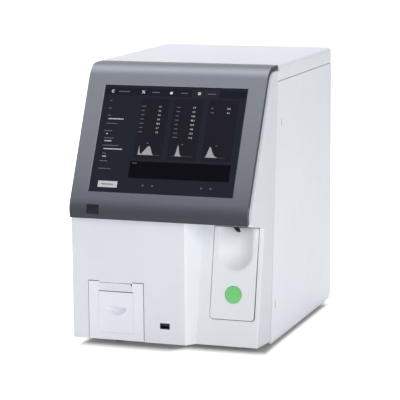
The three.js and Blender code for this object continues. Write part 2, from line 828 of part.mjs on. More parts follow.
function aspirationPanel() {
  const top = ceilingRise - insertGap;
  const back = -coverWall - seat;
  const flangeBack = back - panelFlangeThickness;
  const plate = prismZ(panelOutline(0, top), back, 0);
  const flange = prismZ(panelOutline(panelFlange, top), flangeBack, back);
  const bowl = pocketSolid(pocketWall).intersect(block(panelCentreX - panelWidth, panelCentreX + panelWidth,
    0, top, -bodyDepth, back));
  const slot = block(panelCentreX - probeSlotWidth / 2, panelCentreX + probeSlotWidth / 2,
    top - probeSlotWidth / 2, top + overrun, -bodyDepth, -pocketDepth / 2);
  const hole = solidOf(cylinder(buttonRadius + buttonClearance, overrun * 2, roundSteps).rotateX(Math.PI / 2)
    .translate(panelCentreX, buttonRise, 0));
  return plate.add(flange).add(bowl).subtract(pocketSolid(0)).subtract(slot).subtract(hole);
}

function turnedOnPanel(profile) {
  return solidOf(new THREE.LatheGeometry(profile, roundSteps).rotateX(Math.PI / 2)
    .translate(panelCentreX, buttonRise, 0));
}

function makeAspiration() {
  const panelBack = coverWall + seat + panelFlangeThickness;
  const flangeTop = -panelBack - seat;
  const flangeFoot = flangeTop - buttonFlangeThickness;
  const wide = buttonRadius + buttonFlange;
  const rim = buttonProud - buttonDomeHeight;
  const cupInner = wide + buttonClearance;
  const cupFoot = flangeTop - switchCupDepth;
  const stemFoot = flangeFoot - buttonStemLength;
  addPiece('aspiration_panel', aspirationPanel(), 'whitePlastic', panelFrame);
  addPiece('aspirate_button', turnedOnPanel([vec(0, stemFoot), vec(buttonStemRadius, stemFoot),
    vec(buttonStemRadius, flangeFoot), vec(wide, flangeFoot), vec(wide, flangeTop), vec(buttonRadius, flangeTop),
    vec(buttonRadius, rim), vec(buttonRadius - buttonDomeHeight, rim + buttonDomeHeight * 2 / 3),
    vec(0, buttonProud)]), 'greenPlastic', panelFrame);
  addPiece('start_switch', turnedOnPanel([vec(0, cupFoot), vec(cupInner + switchCupWall, cupFoot),
    vec(cupInner + switchCupWall, flangeTop), vec(cupInner, flangeTop), vec(cupInner, cupFoot + switchCupWall),
    vec(switchPostRadius, cupFoot + switchCupWall), vec(switchPostRadius, stemFoot - buttonTravel - seat),
    vec(0, stemFoot - buttonTravel - seat)]), 'blackPlastic', panelFrame);
}

// Thermal recorder

const doorPivotHeight = bucketFloor + seat + doorBarrelRadius;

function recorderFrame() {
  const right = recorderLeft + recorderWidth;
  const mouthLeft = doorLeft - doorSideGap;
  const mouthRight = doorLeft + doorWidth + doorSideGap;
  const boxLeft = mouthLeft - recorderWall;
  const boxRight = mouthRight + recorderWall;
  const railFoot = doorTop + slotOpening;
  const chuteLeft = (mouthLeft + mouthRight - chuteWidth) / 2;
  const plate = block(recorderLeft, right, 0, recorderPlate, frontCoverFloorGap, recorderTop);
  const box = block(boxLeft, boxRight, 0, recorderBoxDepth, bucketFloor - recorderWall, recorderTop);
  const mouth = block(mouthLeft, mouthRight, -overrun, bucketRearDepth, bucketFloor, bucketCeiling);
  const upper = block(mouthLeft, mouthRight, -overrun, platenDepth + platenRadius + printHeadThickness + seat * 2,
    bucketCeiling - seat, railFoot);
  const chute = prismX([vec(-overrun, railFoot), vec(0, railFoot), vec(chuteDepth, recorderTop),
    vec(chuteDepth, recorderTop + overrun), vec(-overrun, recorderTop + overrun)], chuteLeft, chuteLeft + chuteWidth);
  const hollow = block(mouthLeft, mouthRight, railDepth, recorderBoxDepth - recorderWall,
    railFoot + recorderWall, recorderTop + overrun);
  const bearing = rodX(doorBarrelRadius, doorPivotHeight, trunnionRadius + seat,
    mouthLeft - trunnionLength, mouthRight + trunnionLength);
  return plate.add(box).subtract(mouth).subtract(upper).subtract(chute).subtract(hollow).subtract(bearing);
}

function recorderDoor() {
  const right = doorLeft + doorWidth;
  const centre = doorLeft + doorWidth / 2;
  const plate = block(doorLeft, right, 0, doorPlate, doorPivotHeight, doorTop);
  const barrel = rodX(doorBarrelRadius, doorPivotHeight, doorBarrelRadius, doorLeft, right, roundSteps);
  const pins = rodX(doorBarrelRadius, doorPivotHeight, trunnionRadius,
    doorLeft - doorSideGap - trunnionLength + seat, right + doorSideGap + trunnionLength - seat);
  const armTop = platenHeight + platenRadius;
  const armLeft = block(doorLeft, doorLeft + platenArm, 0, platenDepth + platenShaftRadius * 2,
    platenHeight - platenRadius, armTop);
  const armRight = block(right - platenArm, right, 0, platenDepth + platenShaftRadius * 2,
    platenHeight - platenRadius, armTop);
  const bearing = rodX(platenDepth, platenHeight, platenShaftRadius + seat, doorLeft - overrun, right + overrun);
  const backing = block(centre - scoopWidth / 2 - scoopBacking, centre + scoopWidth / 2 + scoopBacking,
    0, scoopDepth + scoopBacking, scoopHeightAboveFloor - scoopHeight / 2 - scoopBacking,
    scoopHeightAboveFloor + scoopHeight / 2 + scoopBacking);
  const scoop = new THREE.SphereGeometry(1, roundSteps, bendSteps * 2)
    .scale(scoopWidth / 2, scoopDepth, scoopHeight / 2).translate(centre, 0, scoopHeightAboveFloor);
  return plate.add(barrel).add(pins).add(armLeft.add(armRight).subtract(bearing)).add(backing)
    .subtract(solidOf(scoop));
}

function makeRecorder() {
  const left = doorLeft + platenArm + seat;
  const right = doorLeft + doorWidth - platenArm - seat;
  const shaft = rodX(platenDepth, platenHeight, platenShaftRadius, doorLeft, doorLeft + doorWidth);
  const headFront = platenDepth + platenRadius + seat;
  const rollLeft = doorLeft + platenArm / 2;
  const rollRight = doorLeft + doorWidth - platenArm / 2;
  const rollHeight = bucketFloor + seat + rollRadius;
  addPiece('recorder_frame', recorderFrame(), 'whitePlastic');
  addPiece('recorder_door', recorderDoor(), 'whitePlastic');
  addPiece('platen_roller', shaft.add(rodX(platenDepth, platenHeight, platenRadius, left, right, roundSteps)),
    'rubber');
  addPiece('print_head', block(doorLeft - doorSideGap + seat, doorLeft + doorWidth + doorSideGap - seat,
    headFront, headFront + printHeadThickness, platenHeight - platenRadius,
    platenHeight - platenRadius + printHeadHeight), 'aluminium');
  addPiece('paper_roll', rodX(rollDepth, rollHeight, rollRadius, rollLeft, rollRight, roundSteps)
    .subtract(rodX(rollDepth, rollHeight, rollBoreRadius, rollLeft - overrun, rollRight + overrun)), 'paper');
}

// Front data port

function makePort() {
  const left = portCentreX - portWidth / 2;
  const foot = portCentreHeight - portHeight / 2;
  const rim = portWall + portWall / 2;
  const body = block(left, left + portWidth, 0, portDepth, foot, foot + portHeight);
  const hollow = block(left + portWall, left + portWidth - portWall, -overrun, portDepth - portTongue,
    foot + rim, foot + portHeight - rim);
  const tongue = block(left + portTongue, left + portWidth - portTongue, portTongue, portDepth - portWall,
    portCentreHeight, portCentreHeight + portTongue);
  addPiece('usb_port', body.subtract(hollow).add(tongue), 'blackPlastic');
}

// Base tray, feet, middle plate and rear panel

const trayTop = trayFloorGap + sheetWall;
const trayHalf = halfWidth - sideInset;
const trayRear = rearPanelDepth - seat;

function makeBase() {
  const outer = block(-trayHalf, trayHalf, trayFrontDepth, trayRear, trayFloorGap, trayFloorGap + trayFlangeHeight);
  const inner = block(-trayHalf + sheetWall, trayHalf - sheetWall, trayFrontDepth - overrun,
    trayRear - sheetWall, trayTop, trayFloorGap + trayFlangeHeight + overrun);
  const flangeStart = block(-halfWidth, halfWidth, trayFrontDepth - overrun, seamTopDepth, trayTop,
    trayFloorGap + trayFlangeHeight + overrun);
  addPiece('base_tray', outer.subtract(inner).subtract(flangeStart), 'zincSheet');
  for (const [place, [x, y]] of Object.entries(footPlaces)) {
    const name = 'foot_' + place.replace(/[A-Z]/, (letter) => '_' + letter.toLowerCase());
    const foot = addPiece(name, rodZ(0, 0, footRadius, 0, trayFloorGap - seat, roundSteps), 'rubber');
    foot.position.set(x, y, 0);
  }
}

function makeMidPlate() {
  const foot = trayTop + seat;
  const rear = trayRear - sheetWall - seat;
  let plate = block(midPlateX, midPlateX + sheetWall, midPlateFrontDepth, rear, foot, midPlateTop);
  plate = plate.add(block(midPlateX, midPlateX + midPlateFlange, midPlateFrontDepth, rear, foot, foot + sheetWall));
  for (const y of [boardFrontDepth + standoffInset, boardRearDepth - standoffInset]) {
    for (const z of [boardFootHeight + standoffInset, boardTop - standoffInset]) {
      plate = plate.add(rodX(y, z, standoffRadius, midPlateX - standoffLength, midPlateX + sheetWall / 2));
    }
  }
  addPiece('mid_plate', plate, 'zincSheet');
}

function rearPanel() {
  const rear = rearPanelDepth + sheetWall;
  const right = halfWidth - sidePanelWall - seat - doorSwingClearance;
  let panel = block(-halfWidth + sidePanelWall + seat, right, rearPanelDepth, rear, trayTop, coverSeamHeight - seamGap);
  const near = rearPanelDepth - overrun;
  const far = rear + overrun;
  panel = panel.subtract(rodY(fanCentreX, fanCentreHeight, fanBoreRadius, near, far, roundSteps));
  const inletHalf = inletFlangeWidth / 2 - inletBodyInset + seat;
  panel = panel.subtract(block(inletCentreX - inletHalf, inletCentreX + inletHalf, near, far,
    inletFootHeight + inletBodyInset - seat, inletFootHeight + inletFlangeHeight - inletBodyInset + seat));
  const boardX = midPlateX - standoffLength - seat;
  panel = panel.subtract(block(boardX - ioBlockWidth - seat, boardX + seat, near, far,
    ioBlockFoot - seat, ioBlockTop + seat));
  for (let i = 0; i < nippleCount; i += 1) {
    panel = panel.subtract(rodY(nippleX(i), portPlateRise + portPlateHeight / 2, nippleBarbRadius + seat, near, far));
  }
  return panel;
}

function nippleX(index) {
  const first = portPlateLeft + (portPlateWidth - nippleSpacing * (nippleCount - 1)) / 2;
  return first + nippleSpacing * index;
}

// Top cover and side panels

function roofShape(inset, foot) {
  const half = halfWidth - inset;
  const top = roofHeight - inset;
  const radius = roofEdgeRadius - inset;
  return new THREE.Shape([vec(-half, foot), vec(half, foot),
    ...arc(vec(half - radius, top - radius), radius, 0, Math.PI / 2, cornerSteps),
    ...arc(vec(-half + radius, top - radius), radius, Math.PI / 2, Math.PI, cornerSteps)]);
}

function topCover() {
  const front = bezelRearDepth + seamGap;
  const tongueTop = bezelTopHeight - bezelThickness - seat;
  const outer = prismY(roofShape(0, coverSeamHeight), front, bodyDepth);
  const inner = prismY(roofShape(coverWall, coverSeamHeight - overrun), front - overrun, bodyDepth - coverWall);
  const tongue = prismX([vec(seamDepthAt(coverSeamHeight) + seamGap, coverSeamHeight), vec(front + seat, coverSeamHeight),
    vec(front + seat, tongueTop), vec(seamDepthAt(tongueTop) + seamGap, tongueTop)], -halfWidth, halfWidth);
  const tongueCore = block(-halfWidth + coverWall, halfWidth - coverWall, 0, front + overrun,
    coverSeamHeight - overrun, tongueTop - coverWall);
  const strip = block(-halfWidth + coverWall, halfWidth - coverWall, front, front + coverWall,
    tongueTop - coverWall, roofHeight - coverWall / 2);
  return outer.subtract(inner).add(strip).add(tongue.subtract(tongueCore));
}

function sideOutline() {
  const foot = sidePanelFloorGap;
  const top = coverSeamHeight - seamGap;
  const corner = vec(bodyDepth - rearCornerRadius, foot + rearCornerRadius);
  return [vec(seamDepthAt(foot) + seamGap, foot),
    ...arc(corner, rearCornerRadius, -Math.PI / 2, 0, bendSteps),
    vec(bodyDepth, top), vec(seamDepthAt(top) + seamGap, top)];
}

const pivotX = halfWidth - sidePanelWall / 2;
const pivotDepth = bodyDepth - pivotFromRear;

function rightSideDoor() {
  let door = prismX(sideOutline(), halfWidth - sidePanelWall, halfWidth);
  for (const height of Object.values(pivotHeights)) {
    const half = pivotTabHeight / 2 + seat;
    door = door.subtract(block(halfWidth - sidePanelWall - overrun, halfWidth + overrun,
      rearPanelDepth + pivotLeafThickness, bodyDepth + overrun, height - half, height + half));
    door = door.subtract(rodZ(pivotX, pivotDepth, pivotRadius + pivotHoleClearance / 2,
      height - half - pivotLength, height + half + pivotLength));
  }
  for (const [depth, height] of Object.values(lockPlaces)) {
    door = door.subtract(rodX(depth, height, lockRadius + seat, 0, halfWidth + overrun, roundSteps));
  }
  return door;
}

function makePivots() {
  const leafFront = rearPanelDepth + sheetWall + seat;
  const leafRight = halfWidth - sidePanelWall - pivotTabRun / 2 - seat;
  const half = pivotTabHeight / 2;
  const leaf = block(leafRight - pivotLeafWidth, leafRight, leafFront, leafFront + pivotLeafThickness,
    -pivotLeafHeight / 2, pivotLeafHeight / 2);
  const tab = block(leafRight, pivotX + pivotTabRun / 2, leafFront, leafFront + pivotTabRun, -half, half);
  const pin = rodZ(pivotX, pivotDepth, pivotRadius, -half - pivotLength + seat, half + pivotLength - seat);
  for (const [place, height] of Object.entries(pivotHeights)) {
    addPiece('door_pivot_' + place, leaf.add(tab).add(pin), 'steel').position.set(0, 0, height);
  }
}

function makeLocks() {
  const headRear = halfWidth - lockHeadThickness;
  const head = rodX(0, 0, lockRadius, headRear, halfWidth + seat, roundSteps);
  const shaft = rodX(0, 0, lockShaftRadius, headRear - lockShaftLength, headRear + seat);
  const slot = block(halfWidth + seat - lockSlotDepth, halfWidth + overrun, -lockRadius * 2, lockRadius * 2,
    -lockSlotWidth / 2, lockSlotWidth / 2);
  for (const [place, [depth, height]] of Object.entries(lockPlaces)) {
    addPiece('door_lock_' + place, head.add(shaft).subtract(slot), 'steel').position.set(0, depth, height);
  }
}

// Fan, power inlet and reagent ports on the rear panel

function fanFrame() {
  const rear = rearPanelDepth - seat;
  const front = rear - fanThickness;
  const half = fanSize / 2;
  let frame = block(fanCentreX - half, fanCentreX + half, front, rear, fanCentreHeight - half, fanCentreHeight + half);
  frame = frame.subtract(rodY(fanCentreX, fanCentreHeight, fanBoreRadius, front - overrun, rear + overrun, roundSteps));
  const spokes = block(fanCentreX - half, fanCentreX + half, front, front + fanSpokeThickness,
    fanCentreHeight - fanSpokeWidth / 2, fanCentreHeight + fanSpokeWidth / 2)
    .add(block(fanCentreX - fanSpokeWidth / 2, fanCentreX + fanSpokeWidth / 2, front, front + fanSpokeThickness,
      fanCentreHeight - half, fanCentreHeight + half))
    .add(rodY(fanCentreX, fanCentreHeight, fanHubRadius, front, front + fanSpokeThickness, roundSteps));
  return frame.add(spokes);
}

function fanRotor() {
  const rear = rearPanelDepth - seat * 2;
  const front = rear - fanThickness + fanSpokeThickness + seat * 2;
  let rotor = rodY(0, 0, fanHubRadius, front, rear, roundSteps);
  const middle = (front + rear) / 2;
  for (let i = 0; i < fanBladeCount; i += 1) {
    const blade = new THREE.BoxGeometry(fanBladeThickness, fanBladeWidth, fanBladeReach - fanHubRadius / 2)
      .rotateZ(THREE.MathUtils.degToRad(fanBladeDegrees))
      .translate(0, middle, (fanBladeReach + fanHubRadius / 2) / 2)
      .rotateY(Math.PI * 2 * i / fanBladeCount);
    rotor = rotor.add(solidOf(blade));
  }
  return rotor;
}

function fanGuard() {
  const front = rearPanelDepth + sheetWall + seat;
  const rear = front + guardWire;
  let guard = null;
  for (const radius of guardRingRadii) {
    const ring = rodY(0, 0, radius + guardWire / 2, front, rear, roundSteps)
      .subtract(rodY(0, 0, radius - guardWire / 2, front - overrun, rear + overrun, roundSteps));
    guard = guard ? guard.add(ring) : ring;
  }
  for (const turn of [1, -1]) {
    const arm = new THREE.BoxGeometry(guardArmReach * 2, guardWire, guardWire)
      .translate(0, (front + rear) / 2, 0).rotateY(turn * Math.PI / 4);
    guard = guard.add(solidOf(arm));
  }
  return guard;
}

function makeFan() {
  addPiece('fan_frame', fanFrame(), 'blackPlastic');
  addPiece('fan_rotor', fanRotor(), 'blackPlastic').position.set(fanCentreX, 0, fanCentreHeight);
  addPiece('fan_guard', fanGuard(), 'steel').position.set(fanCentreX, 0, fanCentreHeight);
}

function powerInlet() {
  const face = rearPanelDepth + sheetWall + seat;
  const back = face + inletFlangeThickness;
  const left = inletCentreX - inletFlangeWidth / 2;
  const top = inletFootHeight + inletFlangeHeight;
  const flange = block(left, left + inletFlangeWidth, face, back, inletFootHeight, top);
  const body = block(left + inletBodyInset, left + inletFlangeWidth - inletBodyInset, back - inletBodyDepth, face,
    inletFootHeight + inletBodyInset, top - inletBodyInset);
  const socketZ = inletFootHeight + socketRise;
  const socket = block(inletCentreX - socketWidth / 2, inletCentreX + socketWidth / 2, back - socketDepth,
    back + overrun, socketZ - socketHeight / 2, socketZ + socketHeight / 2);
  const rockerZ = inletFootHeight + rockerRise;
  const wellX = rockerWidth / 2 + rockerClearance;
  const wellZ = rockerHeight / 2 + rockerClearance;
  const well = block(inletCentreX - wellX, inletCentreX + wellX, back - rockerWellDepth, back + overrun,
    rockerZ - wellZ, rockerZ + wellZ);
  let inlet = flange.add(body).subtract(socket).subtract(well);
  for (const [column, row] of [[-1, 0], [0, 1], [1, 0]]) {
    const x = inletCentreX + column * pinSpacing;
    const z = socketZ + (row * 2 - 1) * pinHeight / 2;
    inlet = inlet.add(block(x - pinWidth / 2, x + pinWidth / 2, back - socketDepth - seat,
      back - socketDepth + pinLength, z - pinHeight / 2, z + pinHeight / 2));
  }
  return inlet;
}

// The rocker is drawn about its own axle and set at the place of the axle
function powerRocker() {
  const half = rockerHeight / 2;
  const lean = Math.tan(THREE.MathUtils.degToRad(rockerTiltDegrees)) * half;
  return prismX([vec(-rockerDepth, -half / 2), vec(-rockerDepth, half / 2), vec(rockerProud - lean / 2, half),
    vec(rockerProud, 0), vec(rockerProud + lean, -half)], -rockerWidth / 2, rockerWidth / 2);
}

function reagentPorts() {
  const face = rearPanelDepth + sheetWall + seat;
  const back = face + portPlateThickness;
  const middle = portPlateRise + portPlateHeight / 2;
  let ports = block(portPlateLeft, portPlateLeft + portPlateWidth, face, back,
    portPlateRise, portPlateRise + portPlateHeight);
  for (let i = 0; i < nippleCount; i += 1) {
    const x = nippleX(i);
    ports = ports.add(rodY(x, middle, nippleRadius, face - nippleInnerReach, back + nippleReach))
      .add(rodY(x, middle, nippleBarbRadius, back + nippleReach / 3, back + nippleReach * 2 / 3));
  }
  for (let i = 0; i < nippleCount; i += 1) {
    ports = ports.subtract(rodY(nippleX(i), middle, nippleRadius / 2, 0, bodyDepth + overrun));
  }
  return ports;
}

function makeRearFittings() {
  const rockerY = rearPanelDepth + sheetWall + seat + inletFlangeThickness;
  addPiece('rear_panel', rearPanel(), 'zincSheet');
  addPiece('power_inlet', powerInlet(), 'blackPlastic');
  addPiece('power_rocker', powerRocker(), 'blackPlastic')
    .position.set(inletCentreX, rockerY, inletFootHeight + rockerRise);
  addPiece('reagent_ports', reagentPorts(), 'whitePlastic');
}

// Power supply and main board

function makeElectronics() {
  const supplyFoot = trayTop + seat;
  let supply = block(supplyLeft, supplyLeft + supplyWidth, supplyFrontDepth, supplyFrontDepth + supplyLength,
    supplyFoot, supplyFoot + supplyHeight);
  const ventLeft = supplyLeft + (supplyWidth - supplyVentLength) / 2;
  for (let i = 0; i < supplyVentCount; i += 1) {
    const y = supplyFrontDepth + supplyLength / 2 + (i - (supplyVentCount - 1) / 2) * supplyVentSpacing;
    supply = supply.subtract(block(ventLeft, ventLeft + supplyVentLength, y - supplyVentWidth / 2,
      y + supplyVentWidth / 2, supplyFoot + supplyHeight - supplyVentDepth, supplyFoot + supplyHeight + overrun));
  }
  addPiece('power_supply', supply, 'aluminium');
  addPiece('main_board', mainBoard(), 'circuitBoard');
}

function mainBoard() {
  const right = midPlateX - standoffLength - seat;
  const left = right - boardThickness;
  let board = block(left, right, boardFrontDepth, boardRearDepth, boardFootHeight, boardTop);
  for (const [y, z] of boardChipPlaces) {
    board = board.add(block(left - boardChipHeight, left + boardThickness / 2, y, y + boardChipSize,
      z, z + boardChipSize));
  }
  const ioRear = rearPanelDepth + sheetWall + ioProud;
  board = board.add(block(right - ioBlockWidth, right, boardRearDepth - ioBlockWidth, ioRear, ioBlockFoot, ioBlockTop));
  for (let i = 0; i < ioPortCount; i += 1) {
    const z = (ioBlockFoot + ioBlockTop) / 2 + (i - (ioPortCount - 1) / 2) * ioPortSpacing;
    board = board.subtract(block(right - ioBlockWidth + portWall * 2, right - portWall * 2, ioRear - ioPortDepth,
      ioRear + overrun, z - ioPortHeight / 2, z + ioPortHeight / 2));
  }
  return board;
}

// Sampling unit: a shuttle on a rail, with a lift that carries the probe

const railRight = midPlateX + sheetWall + seat + railThickness;
const railMiddle = railHeight + railWidth / 2;
const shuttleLeft = railRight + seat;

function probeShuttle() {
  const half = railWidth / 2 + seat;
  const blockFront = columnDepth + columnThickness;
  const blockRear = railFrontDepth + shuttleBlockLength;
  const right = shuttleLeft + shuttleBlockThickness;
  let shuttle = block(shuttleLeft, right, blockFront, blockRear, railMiddle - half - shuttleJaw,
    shuttleScrewHeight + shuttleNutSize / 2);
  shuttle = shuttle.add(block(railRight - railThickness / 2, right, railFrontDepth, blockRear,
    railMiddle - half - shuttleJaw, railMiddle - half));
  shuttle = shuttle.add(block(railRight - railThickness / 2, right, railFrontDepth, blockRear,
    railMiddle + half, railMiddle + half + shuttleJaw));
  shuttle = shuttle.add(block(shuttleLeft, columnRight, columnDepth, blockFront, shelfHeight - shelfThickness, columnTop));
  const guideShelf = columnDepth - columnShelfReach;
  shuttle = shuttle.add(block(columnLeft, columnRight, guideShelf, columnDepth, columnTop - shelfThickness, columnTop));
  shuttle = shuttle.add(block(columnLeft, columnRight, probeDepth - wipeWidth / 2 - shelfThickness, columnDepth,
    shelfHeight - shelfThickness, shelfHeight));
  shuttle = shuttle.subtract(rodY(shuttleScrewX, shuttleScrewHeight, shuttleScrewRadius + seat, 0, bodyDepth));
  shuttle = shuttle.subtract(rodZ(panelCentreX, probeDepth, probeRadius + probeClearance, 0, roofHeight));
  shuttle = shuttle.subtract(rodZ(guideX, guideDepth, guideRadius + seat, 0, roofHeight));
  return shuttle.subtract(rodZ(liftScrewX, guideDepth, liftScrewRadius + seat, 0, roofHeight));
}

function probeLift() {
  const top = probeTopHeight - seat;
  const foot = top - liftBlockHeight;
  const rear = columnDepth - seat;
  const left = liftScrewX - liftBlockDepth / 2;
  let lift = block(left, left + liftBlockWidth, rear - liftBlockDepth, rear, foot, top);
  lift = lift.add(block(left + liftBlockWidth / 2, panelCentreX + liftArmWidth / 2,
    rear - liftBlockDepth, rear - liftBlockDepth / 2, foot, top));
  lift = lift.add(block(panelCentreX - liftArmWidth / 2, panelCentreX + liftArmWidth / 2,
    probeDepth - liftArmWidth / 2, rear - liftBlockDepth / 2, foot, top));
  lift = lift.subtract(rodZ(panelCentreX, probeDepth, probeRadius + seat, 0, roofHeight));
  lift = lift.subtract(rodZ(guideX, guideDepth, guideRadius + seat, 0, roofHeight));
  return lift.subtract(rodZ(liftScrewX, guideDepth, liftScrewRadius + seat, 0, roofHeight));
}

function probeWipe() {
  const half = wipeWidth / 2;
  const top = shelfHeight - shelfThickness - seat;
  const body = block(panelCentreX - half, panelCentreX + half, probeDepth - half, probeDepth + half,
    wipeFootHeight, top);
  const nose = solidOf(cylinder(wipeNoseRadius, wipeNoseLength, smallSteps).rotateX(Math.PI / 2)
    .translate(0, 0, -wipeNoseLength / 2).rotateY(-THREE.MathUtils.degToRad(wipeNoseDegrees))
    .translate(panelCentreX - wipeNoseOffset, probeDepth, wipeFootHeight + wipeNoseRadius));
  return body.add(nose).subtract(rodZ(panelCentreX, probeDepth, probeRadius + probeClearance, 0, roofHeight));
}

function stepperMotor(size, length) {
  return block(-size / 2, size / 2, -size / 2, size / 2, -length, 0);
}

function makeSampling() {
  const railLeft = midPlateX + sheetWall + seat;
  const railRear = railFrontDepth + railLength;
  const screwRear = railRear + seat;
  const probe = rodZ(panelCentreX, probeDepth, probeRadius, probeTipHeight, probeTopHeight + seat)
    .add(rodZ(panelCentreX, probeDepth, probeHubRadius, probeTopHeight, probeTopHeight + probeHubHeight));
  addPiece('probe_shuttle', probeShuttle(), 'aluminium');
  addPiece('probe_lift', probeLift(), 'aluminium');
  addPiece('sample_probe', probe, 'steel');
  addPiece('probe_wipe', probeWipe(), 'blackPlastic');
  addPiece('lift_guide', rodZ(guideX, guideDepth, guideRadius, shelfHeight - shelfThickness, columnTop), 'steel');
  addPiece('lift_screw', rodZ(liftScrewX, guideDepth, liftScrewRadius, shelfHeight - shelfThickness, columnTop), 'steel');
  addPiece('lift_motor', stepperMotor(motorSize, motorLength), 'blackPlastic')
    .position.set(liftScrewX, guideDepth + motorSize / 4, shelfHeight - shelfThickness - seat);
  addPiece('shuttle_rail', block(railLeft, railRight, railFrontDepth, railRear, railHeight, railHeight + railWidth),
    'steel');
  addPiece('shuttle_screw', rodY(shuttleScrewX, shuttleScrewHeight, shuttleScrewRadius, railFrontDepth, screwRear),
    'steel');
  const half = largeMotorSize / 2;
  const motor = block(railLeft, railLeft + largeMotorSize, screwRear + seat, screwRear + seat + largeMotorLength,
    shuttleScrewHeight - half, shuttleScrewHeight + half);
  addPiece('shuttle_motor', motor, 'blackPlastic');
}

// Baths

function bath() {
  const inner = bathRadius - bathWall;
  const foot = -bathHeight;
  const neck = foot - bathFunnel;
  const outlet = neck - bathOutletLength;
  const bore = bathOutletRadius / 2;
  return solidOf(new THREE.LatheGeometry([vec(bore, outlet), vec(bathOutletRadius, outlet),
    vec(bathOutletRadius, neck), vec(bathRadius, foot), vec(bathRadius, 0), vec(bathRadius + bathRim, 0),
    vec(bathRadius + bathRim, bathRimThickness), vec(inner, bathRimThickness), vec(inner, foot + bathWall),
    vec(bore, neck + bathWall), vec(bore, outlet)], roundSteps).rotateX(Math.PI / 2));
}

function makeBaths() {
  const rear = bathFrontDepth + bathSpacing + bathShelfMargin;
  const front = bathFrontDepth - bathShelfMargin;
  const foot = bathShelfHeight - bathShelfThickness;
  let shelf = block(bathShelfLeft, bathShelfRight, front, rear, foot, bathShelfHeight);
  shelf = shelf.add(block(bathShelfLeft, bathShelfLeft + bathShelfThickness, front, rear, foot - bathWebHeight, foot));
  const names = ['wbc_bath', 'rbc_bath'];
  names.forEach((name, index) => {
    const y = bathFrontDepth + bathSpacing * index;
    shelf = shelf.subtract(rodZ(panelCentreX, y, bathRadius + seat, 0, roofHeight, roundSteps));
    addPiece(name, bath(), 'acrylic').position.set(panelCentreX, y, bathShelfHeight + seat);
  });
  addPiece('bath_shelf', shelf, 'aluminium');
}

// Syringe unit

function syringeFrame() {
  const left = midPlateX + sheetWall + seat;
  const right = left + syringeReach;
  const rear = syringeFrontDepth + syringeLength;
  let frame = block(left, left + syringeSheet, syringeFrontDepth, rear, syringeFoot, syringeTop);
  frame = frame.add(block(left, right, syringeFrontDepth, rear, syringeFoot, syringeFoot + syringeSheet));
  frame = frame.add(block(left, right, syringeFrontDepth, rear, syringeTop - syringeSheet, syringeTop));
  return frame.subtract(rodZ(syringeScrewX, syringeScrewDepth, syringeScrewRadius + seat,
    syringeFoot - overrun, syringeFoot + overrun));
}

function barrel(depth, outerRadius, boreRadius) {
  const top = syringeTop - syringeSheet - seat;
  return rodZ(syringeAxisX, depth, outerRadius, barrelFoot, top, roundSteps)
    .subtract(rodZ(syringeAxisX, depth, boreRadius, barrelFoot - overrun, top - barrelTopGap, roundSteps));
}

function plunger(depth, boreRadius) {
  return rodZ(syringeAxisX, depth, plungerRodRadius, yokeFoot, pistonFoot + seat)
    .add(rodZ(syringeAxisX, depth, boreRadius - pistonClearance, pistonFoot, pistonFoot + pistonHeight, roundSteps));
}

function makeSyringes() {
  const screwTop = syringeTop - syringeSheet - seat;
  const yokeTop = yokeFoot + yokeThickness;
  let yoke = block(syringeScrewX - yokeMargin, syringeAxisX + yokeMargin, largeSyringeDepth - yokeMargin,
    smallSyringeDepth + yokeMargin, yokeFoot, yokeTop);
  for (const depth of [largeSyringeDepth, smallSyringeDepth]) {
    yoke = yoke.subtract(rodZ(syringeAxisX, depth, plungerRodRadius + seat, 0, roofHeight));
  }
  yoke = yoke.subtract(rodZ(syringeScrewX, syringeScrewDepth, syringeScrewRadius + seat, 0, roofHeight));
  addPiece('syringe_frame', syringeFrame(), 'aluminium');
  addPiece('large_barrel', barrel(largeSyringeDepth, largeBarrelRadius, largeBoreRadius), 'clearGlass');
  addPiece('small_barrel', barrel(smallSyringeDepth, smallBarrelRadius, smallBoreRadius), 'clearGlass');
  addPiece('syringe_yoke', yoke, 'aluminium');
  addPiece('large_plunger', plunger(largeSyringeDepth, largeBoreRadius), 'steel');
  addPiece('small_plunger', plunger(smallSyringeDepth, smallBoreRadius), 'steel');
  addPiece('syringe_screw', rodZ(syringeScrewX, syringeScrewDepth, syringeScrewRadius, syringeFoot, screwTop), 'steel');
  addPiece('syringe_motor', stepperMotor(largeMotorSize, largeMotorLength), 'blackPlastic')
    .position.set(syringeScrewX, syringeScrewDepth, syringeFoot - seat);
}

// Valves and pump on the tray

function makeFluidics() {
  const foot = trayTop + seat;
  const blockTop = foot + valveBlockHeight;
  let valves = block(valveLeft, valveLeft + valveWidth, valveFrontDepth, valveFrontDepth + valveLength, foot, blockTop);
  for (let i = 0; i < solenoidCount; i += 1) {
    const y = valveFrontDepth + valveLength / 2 + (i - (solenoidCount - 1) / 2) * solenoidSpacing;
    for (const x of [valveLeft + valveWidth / 4, valveLeft + valveWidth * 3 / 4]) {
      valves = valves.add(rodZ(x, y, solenoidRadius, blockTop - seat, blockTop + solenoidHeight));
    }
  }
  addPiece('valve_block', valves, 'acrylic');
  const middle = pumpFrontDepth + pumpHeadWidth / 2;
  const headRight = pumpLeft + pumpHeadLength;
  const head = block(pumpLeft, headRight, pumpFrontDepth, pumpFrontDepth + pumpHeadWidth, foot, foot + pumpHeadHeight);
  const motor = rodX(middle, foot + pumpHeadHeight / 2, pumpMotorRadius, headRight - seat,
    headRight + pumpMotorLength, roundSteps);
  let pump = head.add(motor);
  for (const side of [-1, 1]) {
    const y = middle + side * pumpHeadWidth / 4;
    pump = pump.add(rodZ(pumpLeft + pumpHeadLength / 2, y, pumpPortRadius, foot + pumpHeadHeight - seat,
      foot + pumpHeadHeight + pumpPortLength));
  }
  addPiece('vacuum_pump', pump, 'blackPlastic');
}

